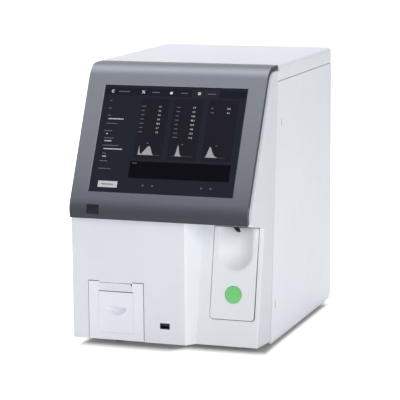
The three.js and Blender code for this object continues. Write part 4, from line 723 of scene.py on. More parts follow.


# ---- the pieces, one operator for each group


# Where the front cover's painted light and shade go:
# The recess ends under the head at this height in mm. Its side wall is this far in from the cover's two sides, and
# the cheeks lean in by less than this, in metres.
RECESS_HEAD = 180.0
RECESS_SPAN = (0.1, 0.02)
CHEEK_TAPER = 0.003


class ANALYZER_OT_covers(bpy.types.Operator):
    """Gives the moulded covers and side panels their satin ABS and soft edges"""
    bl_idname = "analyzer.covers"
    bl_label = "Covers"

    def execute(self, context):
        edges = settings("analyzer_edges")
        for node in ("top_cover", "left_side_panel", "right_side_door"):
            dressed(node, "shell", edges.cover)
        shape = bmesh.new()
        take_in(shape, merged_copy("front_cover"))
        rounded_foot(shape, edges.foot)
        # Painted light and shade: lighter and darker tones on the cheeks and in the recess.
        self.tones(shape, settings("analyzer_panel").tilt)
        stand_in("front_cover", mesh_of(shape, "front_cover_finished"), ("shell", "cheek", "recess", "recess wall"),
                 edges.cover)
        return {"FINISHED"}

    def tones(self, shape, tilt):
        """Paints light and shade on the front cover: its cheeks, the back of its recess and the recess's side wall get
        their own darker and lighter tones.
        """
        low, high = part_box("front_cover")
        head = at(0, 0, RECESS_HEAD).z
        for face in shape.faces:
            place = face.calc_center_median()
            # They face straight sideways, forwards and up as the recess leans, and to the right.
            if abs(face.normal.x) > 0.97 and min(place.x - low.x, high.x - place.x) < CHEEK_TAPER:
                face.material_index = 1
            elif face.normal.y < -0.9 and abs(face.normal.z - math.sin(tilt)) < 0.03 and place.z < head:
                face.material_index = 2
            elif face.normal.x > 0.25 and low.x + RECESS_SPAN[0] < place.x < high.x - RECESS_SPAN[1] \
                    and place.z < head:
                face.material_index = 3


class ANALYZER_OT_bezel(bpy.types.Operator):
    """Makes the lacquered display frame with its smoked window"""
    bl_idname = "analyzer.bezel"
    bl_label = "Display bezel"

    def execute(self, context):
        edges = settings("analyzer_edges")
        bezel = dressed("display_bezel", "bezel", edges.cover * 0.5)
        bezel.data.materials.append(MATERIALS["dark ends and painted slot shade"])
        outer = max(v.co.x for v in bezel.data.vertices)
        for face in bezel.data.polygons:
            # The cut ends face sideways within 2 mm of the bezel's ends.
            if abs(face.normal.x) > 0.9 and abs(abs(face.center.x - FRONT.x) - (outer - FRONT.x)) < 0.002:
                face.material_index = 1
        dressed("status_window", "smoked", edges.small)
        return {"FINISHED"}


# The display's picture, in mm across and up the lit area. The header's lower and upper edge, its tabs and their
# signs and labels:
HEADER = (143.9, 154.6)
TABS = ((2.0, 46.0), (46.0, 88.0), (88.0, 131.0), (131.0, 171.0))
TAB_ICONS = (13.0, 58.6, 100.1, 141.6)
TAB_LABELS = ((21.5, 38.4), (71.7, 82.6), (114.6, 124.8), (154.0, 166.2))
TAB_LINE = 149.0

# The three result columns: edges, where the labels start, the values' middle, the labels' lengths, the values.
Column = collections.namedtuple("Column", "left right labels values lengths numbers")
COLUMNS = (
    Column(58.0, 100.0, 60.0, 87.2, (5.8, 4.6, 5.6, 5.0, 5.8, 5.2, 5.4),
           ("6.1", "2.3", "0.4", "3.4", "38.2", "6.7", "5.5")),
    Column(107.0, 150.0, 111.8, 137.5, (4.6, 5.4, 4.8, 5.6, 5.2, 5.6, 6.0, 7.2),
           ("4.8", "141", "0.42", "88.3", "29.4", "334", "12.9", "41.6")),
    Column(158.0, 201.0, 162.0, 187.6, (4.0, 4.6), ("228", "9.4")),
)
COLUMN_FOOT, COLUMN_TOP = 50.5, 139.5
FIRST_ROW = 128.1

# The lines at the left: height, start, end and whether they are the brighter kind.
SIDE_LINES = ((134.9, 10.6, 13.4, 0), (123.7, 10.2, 14.4, 0), (113.1, 10.2, 15.0, 0), (107.9, 12.4, 35.0, 1),
              (100.8, 10.0, 26.8, 0), (90.0, 9.0, 21.0, 0), (85.7, 12.6, 15.6, 1), (79.3, 10.6, 25.2, 0),
              (75.0, 12.0, 22.2, 1), (68.4, 10.0, 33.4, 0), (63.3, 12.2, 39.8, 1), (56.8, 11.6, 16.4, 0),
              (52.2, 12.2, 17.8, 1), (45.4, 9.4, 20.8, 0), (34.3, 9.0, 27.2, 0))

# The message box and the key under the columns, with its label.
MESSAGE_BOX = (55.2, 202.6, 22.2, 46.8)
KEY = (12.3, 41.0, 7.0, 16.2)
KEY_LABEL = (17.5, 35.5, 11.6)

# The curves over their base line, with the ends of their axes and of their names.
BASE_LINE = 56.5
NAME_LINE = 73.6
CURVES = (
    ((64.0, 0), (64.3, 6), (64.9, 13.6), (65.6, 9), (66.6, 3.4), (68, 1.4), (69.6, 1.5), (71.4, 4.2),
     (73.6, 7.2), (76, 10.4), (78, 12.6), (79.6, 13.2), (81.2, 11.6), (83, 7.6), (84.8, 3.0), (86.6, 0)),
    ((118.0, 0), (118.9, 1.0), (119.7, 3.6), (120.4, 8.2), (121.1, 13.6), (121.8, 16.4), (122.6, 14.8),
     (123.6, 10.2), (124.8, 5.0), (126.2, 1.8), (128.8, 0)),
    ((162.6, 0), (164.0, 1.4), (165.4, 5.2), (166.8, 10.4), (168.0, 14.6), (169.0, 15.8), (170.2, 14.0),
     (171.8, 10.2), (173.6, 6.4), (175.6, 3.2), (177.8, 1.4), (181.0, 0)),
)
CURVE_AXES = ((63.0, 96.4), (113.4, 145.0), (162.0, 191.8))
CURVE_NAMES = ((75.2, 78.4), (125.8, 129.0), (176.0, 179.4))

# The touch glass's face against the lit area, and how far over it, in mm, the picture's layers start and end.
GLASS = -1.8
ROOT = 0.1
LAYERS = {"ground": 0.3, "panel": 0.35, "mark": 0.4, "number": 0.42, "curve": 0.425, "sign": 0.45, "inset": 0.475,
          "text": 0.5}
MARGIN = 0.3
NUMBER_SIZE, NUMBER_HALF_DEPTH = 3.1, 0.08

# Text too small to read is a row of blocks: their step as a share of the line's height, their widths as shares of
# the step, how far they stay under the line's top as shares of its height, and the share of a step that a last
# block needs.
LETTER_STEP = 0.62
LETTER_WIDTHS = (0.62, 0.78, 0.5, 0.7)
LETTER_DROPS = (0.0, 0.18, 0.05)
LETTER_LEFT = 0.3

# The heights of the lines of text, the one under the message box, and the small signs at the foot.
TEXT_HEIGHT = {"key": 1.7, "tab": 1.5, "bright": 1.5, "side": 1.2, "label": 1.25, "curve": 1.1}
MESSAGE = (58.6, 65.0, 43.9)
FOOT_SIGNS, FOOT_SIGN_LINE = (78.8, 93.1, 164.6, 178.0), 11.8


class ANALYZER_OT_display(bpy.types.Operator):
    """Makes the display glass and the picture that it shows"""
    bl_idname = "analyzer.display"
    bl_label = "Display"

    def execute(self, context):
        sizes = settings("analyzer_display")
        matrix = screen_matrix()
        dressed("touch_glass", "glass", settings("analyzer_edges").small)
        shape = bmesh.new()

        def plate(outline, layer, tone):
            """A flat patch of the picture in one tone."""
            prism(shape, outline, GLASS + ROOT, GLASS + LAYERS[layer], matrix, tuple(SHOWN).index(tone))

        def text(x0, x1, y, height, tone="lit faint text"):
            """A line of text, as a row of little blocks."""
            step = height * LETTER_STEP
            x, letter = x0, 0
            while x < x1 - step * LETTER_LEFT:
                width = step * LETTER_WIDTHS[letter % len(LETTER_WIDTHS)]
                drop = height * LETTER_DROPS[letter % len(LETTER_DROPS)]
                plate(rectangle(x, min(x1, x + width), y - height / 2, y + height / 2 - drop), "text", tone)
                x += step
                letter += 1

        self.grounds(plate, sizes.width / MM, sizes.height / MM)
        self.lines(text, sizes.row_pitch / MM)
        self.signs(plate)
        for points, (x0, x1), (n0, n1) in zip(CURVES, CURVE_AXES, CURVE_NAMES):
            plate(rectangle(x0, x1, BASE_LINE - 0.22, BASE_LINE - 0.02), "sign", "lit faint text")
            plate([(x, BASE_LINE + rise) for x, rise in points][::-1], "curve", "lit curve")
            text(n0, n1, NAME_LINE, TEXT_HEIGHT["curve"])
        finished("display_picture", mesh_of(shape, "display_picture"), "touch_glass", *SHOWN)
        self.numbers(matrix, sizes.row_pitch / MM)
        return {"FINISHED"}

    def grounds(self, plate, width, height):
        """The grounds that the picture's text stands on."""
        plate(rectangle(MARGIN, width - MARGIN, MARGIN, height - MARGIN), "ground", "lit ground")
        plate(rectangle(MARGIN, width - MARGIN, *HEADER), "panel", "lit header")
        plate(rectangle(*TABS[-1], *HEADER), "mark", "lit tab")
        for _, end in TABS[:-1]:
            plate(rectangle(end - 0.35, end - 0.1, HEADER[0] + 1, HEADER[1] - 1), "mark", "lit tab")
        for column in COLUMNS:
            plate(rectangle(column.left, column.right, COLUMN_FOOT, COLUMN_TOP), "panel", "lit panel")
        plate(rectangle(*MESSAGE_BOX), "mark", "lit box")
        plate(rectangle(*KEY), "mark", "lit key")

    def lines(self, text, row_pitch):
        """The lines of text, other than the curves' names and the values."""
        text(*KEY_LABEL, TEXT_HEIGHT["key"], "lit header")
        for x0, x1 in TAB_LABELS:
            text(x0, x1, TAB_LINE, TEXT_HEIGHT["tab"])
        for y, x0, x1, bright in SIDE_LINES:
            if bright:
                text(x0, x1, y, TEXT_HEIGHT["bright"], "lit bright")
            else:
                text(x0, x1, y, TEXT_HEIGHT["side"])
        for column in COLUMNS:
            for row, reach in enumerate(column.lengths):
                text(column.labels, column.labels + reach, FIRST_ROW - row * row_pitch, TEXT_HEIGHT["label"])
        text(*MESSAGE, TEXT_HEIGHT["side"])

    def signs(self, plate):
        """Four plain signs in the header and four small ones at the foot."""
        y = TAB_LINE + 0.1
        ring, cross, drop, cog = TAB_ICONS
        outer = [(px, py) for px, py in disc(ring, y, 2.3, 28) if not (px > ring + 1.2 and abs(py - y) < 1.2)]
        inner = [(ring + (px - ring) * 0.55, y + (py - y) * 0.55) for px, py in outer]
        plate(outer + inner[::-1], "sign", "lit bright")
        for turn in (1, -1):
            plate([(cross - 2.4, y + turn * 2.0 - 0.5), (cross - 1.6, y + turn * 2.0 + 0.5 * turn),
                   (cross + 2.4, y - turn * 2.0 + 0.5), (cross + 1.6, y - turn * 2.0 - 0.5 * turn)][::turn],
                  "sign", "lit bright")
        bowl = [(drop + 2.2 * math.cos(math.radians(a)), y - 0.4 + 1.9 * math.sin(math.radians(a)))
                for a in range(-200, 21, 20)]
        plate(bowl + [(drop + 0.6, y + 2.2)], "sign", "lit bright")
        teeth = []
        for i in range(32):
            radius, angle = 2.4 if i % 4 < 2 else 1.9, 2 * math.pi * i / 32
            teeth.append((cog + radius * math.cos(angle), y + radius * math.sin(angle)))
        plate(teeth, "sign", "lit bright")
        plate(disc(cog, y, 0.8, 16), "inset", "lit tab")
        for x in FOOT_SIGNS:
            plate(disc(x, FOOT_SIGN_LINE, 1.3, 16), "sign", "lit faint text")
            plate(disc(x, FOOT_SIGN_LINE, 0.6, 12), "inset", "lit ground")

    def numbers(self, matrix, row_pitch):
        """The result values, as plain numbers."""
        shape = bmesh.new()
        for column in COLUMNS:
            for row, number in enumerate(column.numbers):
                curve = bpy.data.curves.new("number", "FONT")
                curve.body = number
                curve.size = NUMBER_SIZE
                curve.align_x = curve.align_y = "CENTER"
                curve.extrude = NUMBER_HALF_DEPTH
                curve.resolution_u = 2
                mesh = baked(put("number", curve))
                mesh.transform(matrix @ Matrix.Translation(
                    (column.values, FIRST_ROW - row * row_pitch, GLASS + LAYERS["number"])))
                bpy.data.curves.remove(curve)
                take_in(shape, mesh)
        bmesh.ops.remove_doubles(shape, verts=shape.verts, dist=1e-7)
        finished("display_numbers", mesh_of(shape, "display_numbers"), "touch_glass", "lit bright")


# The hole in the pocket for the probe and its slanting nozzle, as X from the middle and height, and where it starts
# and ends in depth, in mm. Then the reach of the button's hole to both sides of the plate, in metres.
NOZZLE_SLOT = ((88.6, 187.0), (88.6, 171.6), (100.2, 171.6), (100.2, 187.0))
SLOT_REACH = (-90, -45)
HOLE_REACH = 0.02

# The nozzle leaves the wipe here, in mm as at() takes them, and leans to the right from straight down. The sleeve
# runs from the first to the second distance, and the bore round the probe's path goes through it.
NOZZLE_ROOT = (90.0, 51.0, 175.6)
NOZZLE_LEAN = math.radians(42)
NOZZLE_RADIUS = 2.9
NOZZLE_REACH = (1.5, 10.6)
PROBE_PATH = (95.0, 51.0, 150.0)
PROBE_RADIUS, PROBE_BORE = 1.35, 50

# The sample panel's plate, its wall round the pocket, how far its rear flange stands out, how far back that lies
# and how deep it sits in the plate, in metres, and the steps across and up its face.
PLATE, WALL, FLANGE, FLANGE_BACK, FLANGE_SUNK = 0.0033, 0.0024, 0.004, 0.0058, 0.0002
PANEL_COLUMNS, PANEL_ROWS, CORNER_ROWS = 84, 150, 8


class ANALYZER_OT_sample_port(bpy.types.Operator):
    """Makes the panel with the tube pocket, the start button and the probe wipe"""
    bl_idname = "analyzer.sample_port"
    bl_label = "Sample port"

    def execute(self, context):
        edges = settings("analyzer_edges")
        self.panel(settings("analyzer_panel"), edges.small)
        dressed("aspirate_button", "button", edges.small)
        self.nozzle(edges.small)
        dressed("start_switch", "black", edges.small)
        return {"FINISHED"}

    def nozzle(self, edge):
        """The probe's wipe with its slanting nozzle, thicker than the solid's and cut square at its end."""
        sleeve, bore = bmesh.new(), bmesh.new()
        lean = Matrix.Rotation(math.radians(180) - NOZZLE_LEAN, 4, "Y")
        prism(sleeve, disc(0, 0, NOZZLE_RADIUS, 32), *NOZZLE_REACH,
              Matrix.Translation(at(*NOZZLE_ROOT)) @ lean @ Matrix.Scale(MM, 4))
        prism(bore, disc(0, 0, PROBE_RADIUS, 24), 0, PROBE_BORE,
              Matrix.Translation(at(*PROBE_PATH)) @ Matrix.Scale(MM, 4))
        shape = bmesh.new()
        take_in(shape, cut(mesh_of(sleeve, "nozzle sleeve"), mesh_of(bore, "nozzle bore")))
        take_in(shape, merged_copy("probe_wipe"))
        stand_in("probe_wipe", mesh_of(shape, "probe_wipe_finished"), ("rubber",), edge)

    def panel(self, sizes, edge):
        """The panel as one moulding: a plate whose face rolls softly into the tube pocket."""
        matrix = Matrix.Translation(FRONT + Vector((sizes.centre_x, sizes.foot_y, sizes.foot_z))) \
            @ tilted(sizes.tilt)

        def depth(x, y):
            reach = math.hypot(x, min(0.0, y - sizes.pocket_rise)) / sizes.pocket_radius
            plain = sizes.pocket_depth * (1 - reach * reach)
            return 0.5 * (plain + math.hypot(plain, sizes.pocket_lip))

        def half_width(y):
            rise = sizes.corner - (y - sizes.low)
            inward = sizes.corner - math.sqrt(sizes.corner ** 2 - rise ** 2) if rise > 0 else 0.0
            return sizes.width / 2 - inward

        shape = bmesh.new()
        levels = [sizes.low + sizes.corner * (1 - math.cos(math.pi / 2 * i / CORNER_ROWS))
                  for i in range(CORNER_ROWS)]
        levels += [sizes.low + sizes.corner + (sizes.high - sizes.low - sizes.corner) * i / PANEL_ROWS
                   for i in range(PANEL_ROWS + 1)]
        front, back = [], []
        for y in levels:
            half = half_width(y)
            right = half - sizes.taper * (sizes.high - y) / (sizes.high - sizes.low)
            places = [-half + (half + right) * i / PANEL_COLUMNS for i in range(PANEL_COLUMNS + 1)]
            front.append([shape.verts.new(matrix @ Vector((x, y, -depth(x, y)))) for x in places])
            back.append([shape.verts.new(matrix @ Vector((x, y, -max(PLATE, depth(x, y) + WALL)))) for x in places])
        skin(shape, front, back)
        face = mesh_of(shape, "panel face")
        hole, slot, flange = bmesh.new(), bmesh.new(), bmesh.new()
        prism(hole, disc(0, sizes.button_rise, sizes.button_hole, 48), -HOLE_REACH, HOLE_REACH, matrix)
        prism(slot, NOZZLE_SLOT, *SLOT_REACH, FACING)
        face = cut(face, mesh_of(hole, "button hole"), mesh_of(slot, "probe slot"))
        half = sizes.width / 2
        outer = [(-half - FLANGE, sizes.high), (-half - FLANGE, sizes.low), (-half, sizes.low - FLANGE),
                 (half, sizes.low - FLANGE), (half + FLANGE, sizes.low), (half + FLANGE, sizes.high)]
        inner = [(half - FLANGE, sizes.high), (half - FLANGE, sizes.low + FLANGE),
                 (-half + FLANGE, sizes.low + FLANGE), (-half + FLANGE, sizes.high)]
        # The flange is black so that the gap round the panel reads dark: a dark sheet standing in for the shade in
        # that gap.
        prism(flange, outer + inner, -FLANGE_BACK, -PLATE + FLANGE_SUNK, matrix, material=1)
        take_in(flange, face)
        stand_in("aspiration_panel", mesh_of(flange, "aspiration_panel_finished"), ("recess", "black"), edge)


# The recorder's housing, in mm: the dark slit at the head of the paper chute with its open right end, as X and
# height, and its reach in depth; the lip over the slit, and its reach; the floor's groove from left to right, and
# the angles that its round runs between, with its steps; and the radius of the lower edges, in metres.
CHUTE_SLIT = ((-93.0, 92.9), (-47.6, 92.9), (-45.4, 90.4), (-43.8, 90.4), (-43.8, 94.4), (-93.0, 94.4))
SLIT_REACH = (-12, -1)
LIP, LIP_REACH = (-93.2, -43.6, 94.4, 96.2), (-3.7, -0.02)
GROOVE, GROOVE_ROUND = (-94.7, -41.2), (-137, -42, 4)
HOUSING_FOOT = 0.0028

# The recorder's door, in mm: the depth of its hinge, the lowest point of its plate, the middle of its scoop and how
# softly that runs out, the radii of its barrel foot and pins and how far the pins stand out, its two arms with their
# bore for the roller, and the plate's back and its wall behind the scoop.
HINGE_DEPTH = 3.2
DOOR_FOOT = 22.5
SCOOP_CENTRE, SCOOP_BLEND = -68.0, 0.25
BARREL, PIN, PIN_REACH = 3.2, 1.5, 2.3
ARM, ARM_WIDTH = (1.0, 13.0, 67.5, 78.5), 3.0
ROLLER_DEPTH, ROLLER_HEIGHT, ROLLER_BORE = 9.0, 73.0, 2.1
DOOR_BACK, DOOR_WALL = 3.0, 1.0

# The height of the finely drawn band under the ledge and the step over the ledge, in mm, the rows below the band, in
# it and above it, the columns, and the share of the side's fill that is lost from foot to head.
SCOOP_BAND, STEP_OVER = 14, 0.04
ROWS_BELOW, ROWS_IN_BAND, ROWS_ABOVE, DOOR_COLUMNS = 8, 36, 6, 88
FILL_LOST = 0.55


class ANALYZER_OT_recorder(bpy.types.Operator):
    """Makes the thermal recorder with its door, rollers and paper"""
    bl_idname = "analyzer.recorder"
    bl_label = "Recorder"

    def execute(self, context):
        edges = settings("analyzer_edges")
        sizes = settings("analyzer_recorder")
        self.frame(sizes, edges.small * 0.6)
        self.door(sizes)
        dressed("usb_port", "black", edges.small * 0.5)
        dressed("platen_roller", "rubber", edges.small)
        dressed("print_head", "aluminium", edges.small)
        dressed("paper_roll", "paper", edges.small)
        return {"FINISHED"}

    def frame(self, sizes, edge):
        """The recorder's housing, with the slit over its chute and a groove for the door's foot."""
        mesh = merged_copy("recorder_frame")
        _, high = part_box("recorder_frame")
        for v in mesh.vertices:
            if v.co.z > high.z - SNAP:
                v.co.z -= sizes.outer_gap
            if v.co.x > high.x - SNAP:
                v.co.x -= sizes.outer_gap
        slit, groove, housing = bmesh.new(), bmesh.new(), bmesh.new()
        prism(slit, CHUTE_SLIT, *SLIT_REACH, FACING)
        hollow = arc(HINGE_DEPTH, sizes.pivot_height / MM, sizes.foot_radius / MM, *GROOVE_ROUND)
        prism(groove, hollow, *GROOVE, SIDEWAYS)
        mesh = cut(mesh, mesh_of(slit, "chute slit"), mesh_of(groove, "foot groove"))
        prism(housing, rectangle(*LIP), *LIP_REACH, FACING)
        take_in(housing, mesh)
        rounded_foot(housing, HOUSING_FOOT)
        stand_in("recorder_frame", mesh_of(housing, "recorder_frame_finished"), ("recorder",), edge, 2)

    def door(self, sizes):
        """The paper door: a plate with a finger scoop under a ledge, a barrel foot, pins and two arms."""
        solid = merged_copy("recorder_door")
        top = max(v.co.z for v in solid.vertices)
        row = [v.co.x for v in solid.vertices if v.co.z > top - SNAP]
        bpy.data.meshes.remove(solid)
        left, right = (min(row) - FRONT.x) / MM, (max(row) - FRONT.x) / MM
        head = (top - FRONT.z) / MM
        ledge, drop, half = sizes.scoop_top / MM, sizes.scoop_height / MM, sizes.scoop_width / MM / 2
        deep, fill, pivot = sizes.scoop_depth / MM, sizes.side_fill / MM, sizes.pivot_height / MM

        def depth(x, z):
            if z > ledge:
                return 0.0
            plain = deep * (1 - ((x - SCOOP_CENTRE) / half) ** 2 - ((ledge - z) / drop) ** 2)
            return 0.5 * (plain + math.hypot(plain, SCOOP_BLEND)) - 0.5 * (math.hypot(deep, SCOOP_BLEND) - deep)

        # Coarse rows below the scoop, fine ones through it, and a step to the ledge.
        band = ledge - SCOOP_BAND
        levels = [DOOR_FOOT + (band - DOOR_FOOT) * i / ROWS_BELOW for i in range(ROWS_BELOW)]
        levels += [band + SCOOP_BAND * i / ROWS_IN_BAND for i in range(ROWS_IN_BAND + 1)] + [ledge + STEP_OVER]
        levels += [ledge + STEP_OVER + (head - ledge - STEP_OVER) * i / ROWS_ABOVE
                   for i in range(1, ROWS_ABOVE + 1)]
        shape = bmesh.new()
        front, back = [], []
        for z in levels:
            wide = fill * (1 - FILL_LOST * (z - DOOR_FOOT) / (head - DOOR_FOOT))
            places = [left - wide + (right - left + 2 * wide) * i / DOOR_COLUMNS for i in range(DOOR_COLUMNS + 1)]
            front.append([shape.verts.new(IN_MM @ Vector((x, max(0.0, depth(x, z)), z))) for x in places])
            back.append([shape.verts.new(IN_MM @ Vector((x, max(DOOR_BACK, depth(x, z) + DOOR_WALL), z)))
                         for x in places])
        skin(shape, front, back)
        barrel = arc(HINGE_DEPTH, pivot, BARREL, -90, 91, 15)
        prism(shape, [(1.0, DOOR_FOOT + 0.05), *barrel, (1.0, pivot + BARREL)], left, right, SIDEWAYS)
        for start, end in ((left - PIN_REACH, left + 1), (right - 1, right + PIN_REACH)):
            prism(shape, disc(HINGE_DEPTH, pivot, PIN), start, end, SIDEWAYS)
        arms, bore = bmesh.new(), bmesh.new()
        for x in (left, right - ARM_WIDTH):
            prism(arms, rectangle(*ARM), x, x + ARM_WIDTH, SIDEWAYS)
        prism(bore, disc(ROLLER_DEPTH, ROLLER_HEIGHT, ROLLER_BORE), left - 5, right + 5, SIDEWAYS)
        take_in(shape, cut(mesh_of(arms, "roller arms"), mesh_of(bore, "roller bore")))
        piece = finished("recorder_door_finished", mesh_of(shape, "recorder_door_finished"), "recorder_door",
                         "recorder")
        smooth(piece.data, ROUND)
        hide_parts("recorder_door")


# Screws, in mm as at() takes them: name, the node that they ride on, the way that their heads face, the heads'
# radius and their places.
SCREWS = (
    ("rear_panel_screws", "rear_panel", "Y", 3.2,
     [(x, 386.25, z) for x in (-124.0, 112.0) for z in (24.0, 200.0, 356.0)]
     + [(-6.0, 386.25, z) for z in (356.0, 24.0)]),
    ("fan_screws", "fan_guard", "Y", 2.8,
     [(-77.95 + x, 388.3, 255.0 + z) for x in (-34.6, 34.6) for z in (-34.6, 34.6)]),
    ("power_inlet_screws", "power_inlet", "Y", 2.2, [(x, 388.55, 104.0) for x in (-80.2, -39.8)]),
    ("mid_plate_screws", "mid_plate", "X", 3.0,
     [(33.95, y, z) for y, z in ((100.0, 40.0), (100.0, 350.0), (232.0, 350.0), (366.0, 350.0), (366.0, 70.0),
                                 (262.0, 40.0))]),
    ("bath_shelf_screws", "bath_shelf", "Z", 2.6, [(48.0, y, 147.95) for y in (99.0, 169.0)]),
)
HEAD_HEIGHT = 0.5

# Threads: node, lead for one turn in mm, which is its joint's, number of starts and the axis that it winds about.
# Their ridges, in metres, and how far the thread stays from each end.
THREADS = (("lift_screw", 8.0, 4, "Z"), ("shuttle_screw", 12.0, 5, "Y"), ("syringe_screw", 8.0, 4, "Z"))
RIDGE, RIDGE_SUNK, THREAD_END = 0.00042, 0.0003, 0.002

# Rings up a round node: its nodes, the name that they end in, material, count, height of the first, the wire's
# radius, how far it is sunk and the step, in metres.
RINGS = (
    (("large_barrel", "small_barrel"), "_graduations", "black", 15, 0.007, 0.00018, 0.0, 0.005),
    (("foot_front_left", "foot_front_right", "foot_rear_left", "foot_rear_right"), "_ribs", "rubber", 3, 0.0022,
     0.0007, 0.0003, 0.0026),
)


class ANALYZER_OT_repeats(bpy.types.Operator):
    """Grows the screws, threads, graduations and rings with geometry nodes"""
    bl_idname = "analyzer.repeats"
    bl_label = "Screws, threads and rings"

    def execute(self, context):
        screws, rings, thread = screw_tree(), ring_tree(), thread_tree()
        axes = {"X": (1.0, 0.0, 0.0), "Y": (0.0, 1.0, 0.0), "Z": (0.0, 0.0, 1.0)}
        for name, node, axis, radius, places in SCREWS:
            grown(screws, name, node, "steel", {
                "Radius": radius * MM, "Height": radius * MM * HEAD_HEIGHT, "Axis": axes[axis], "Seed": len(name)},
                [at(*place) for place in places])
        for node, lead, starts, axis in THREADS:
            low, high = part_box(node)
            along = "XYZ".index(axis)
            reach = high[along] - low[along] - 2 * THREAD_END
            start = (low + high) / 2
            start[along] = low[along] + THREAD_END
            grown(thread, node + "_thread", node, "steel", {
                "Starts": starts, "Turns": reach / MM / lead, "Radius": (high.x - low.x) / 2 - RIDGE_SUNK,
                "Ridge": RIDGE, "Length": reach, "Start": tuple(start), "Axis": axes[axis]})
        for nodes, ending, material, count, first, wire, sunk, step in RINGS:
            for node in nodes:
                low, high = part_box(node)
                grown(rings, node + ending, node, material, {
                    "Count": count, "Radius": (high.x - low.x) / 2 - sunk, "Wire": wire,
                    "Start": ((low.x + high.x) / 2, (low.y + high.y) / 2, low.z + first),
                    "Step": (0.0, 0.0, step), "Axis": axes["Z"]})
        return {"FINISHED"}


# The pieces that are refined copies of their solids, with their materials.
PLAIN = {
    "base_tray": "zinc", "rear_panel": "zinc", "mid_plate": "zinc", "door_pivot_upper": "steel",
    "door_pivot_lower": "steel", "door_lock_upper": "recess", "door_lock_lower": "recess",
    "foot_front_left": "rubber", "foot_front_right": "rubber", "foot_rear_left": "rubber",
    "foot_rear_right": "rubber", "lcd_module": "zinc", "power_inlet": "black", "power_rocker": "black",
    "fan_frame": "black", "fan_rotor": "black", "fan_guard": "steel", "reagent_ports": "shell",
    "power_supply": "aluminium", "main_board": "board", "shuttle_rail": "steel", "shuttle_motor": "black",
    "shuttle_screw": "steel", "bath_shelf": "aluminium", "wbc_bath": "acrylic", "rbc_bath": "acrylic",
    "syringe_frame": "aluminium", "large_barrel": "tube", "small_barrel": "tube", "syringe_motor": "black",
    "syringe_screw": "steel", "syringe_yoke": "aluminium", "large_plunger": "steel", "small_plunger": "steel",
    "valve_block": "acrylic", "vacuum_pump": "black", "probe_shuttle": "aluminium", "probe_lift": "aluminium",
    "sample_probe": "steel", "lift_guide": "steel", "lift_screw": "steel", "lift_motor": "black",
}


# How far under a lock's head the floor of its slot lies, from the deepest to the highest, in metres, which is painted
# dark as shade, and the two corners of the box that holds the main board's sockets, in mm.
PAINTED_SHADE_SLOT_FLOOR = (0.001, 0.0002)
SOCKETS = ((18, 366, 152), (30.5, 400, 223))


class ANALYZER_OT_insides(bpy.types.Operator):
    """Finishes the feet, the rear fittings and everything inside"""
    bl_idname = "analyzer.insides"
    bl_label = "Rear and insides"

    def execute(self, context):
        edges = settings("analyzer_edges")
        for node, material in PLAIN.items():
            piece = dressed(node, material, edges.sheet, segments=2)
            if node.startswith("door_lock"):
                self.lock(piece, node)
            elif node == "main_board":
                self.sockets(piece)
        return {"FINISHED"}

    def lock(self, piece, node):
        """Stands the slot of a quarter-turn screw upright and paints its floor dark as shade."""
        low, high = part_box(node)
        centre = Matrix.Translation((low + high) / 2)
        piece.data.transform(centre @ Matrix.Rotation(math.radians(90), 4, "X") @ centre.inverted())
        piece.data.materials.append(MATERIALS["dark ends and painted slot shade"])
        outer = max(v.co.x for v in piece.data.vertices)
        for face in piece.data.polygons:
            if outer - PAINTED_SHADE_SLOT_FLOOR[0] < face.center.x < outer - PAINTED_SHADE_SLOT_FLOOR[1]:
                face.material_index = 1

    def sockets(self, piece):
        """Gives the data sockets on the main board's rear edge their black plastic."""
        piece.data.materials.append(MATERIALS["black"])
        low, high = (at(*corner) for corner in SOCKETS)
        for face in piece.data.polygons:
            if all(low[i] < face.center[i] < high[i] for i in range(3)):
                face.material_index = 1


# The camera as solved from the photo: the picture's side and the focal length in pixels, the film's side in mm, the
# camera's place in mm as at() takes it, and its pan, dip and roll in degrees.
PHOTO_SIDE, FOCAL_LENGTH, FILM = 400.0, 1896.5, 36.0
CAMERA_PLACE = (901.71, -2410.0, 656.71)
PAN, DIP, ROLL = 19.294, 9.748, -0.493
FLOOR_REACH = 30.0

# The painted shadow round the object, set to the photo, in metres. It starts this far in from the left side, runs out
# over these distances past the object's sides and ends, and in front of the recess it steps back by up to the last
# value between two places across.
SHADE_INSET = 0.015
SIDE_FADE = (-0.001, 0.014)
END_FADE = (-0.045, 0.004)
STEP_BACK = (0.004, 0.03, 0.018)

# The paper's glow in the painted shadow and away from it, the share of that glow that lights the object, and the
# paper's tone over the same run, darkened in the painted shadow.
GLOW = (0.1, 0.75)
GLOW_SHARE = 0.36
PAINTED_SHADOW_RUN, PAINTED_SHADOW_TONES = (0.1, 0.6), (0.4, 1.0)

# The studio that gloss sees, from the front horizon over the top to the rear horizon: share of the half circle and
# brightness. Everything else sees an even light.
STUDIO = ((0.0, 0.7), (0.16, 0.85), (0.28, 0.9), (0.38, 1.1), (0.46, 2.1), (0.55, 2.3), (0.66, 1.0), (0.78, 0.5),
          (1.0, 0.35))
STUDIO_PEAK = 3.0
EVEN_LIGHT = 0.3

# Square lamps: name, place and side in metres, power in watts. They look at a point at this height.
LAMPS = (("top softbox", (-0.5, 0.6, 2.4), 2.0, 49.0), ("front right softbox", (2.24, -2.38, 1.2), 1.5, 51.5))
LAMP_AIM = Vector((0.0, 0.0, 0.2))


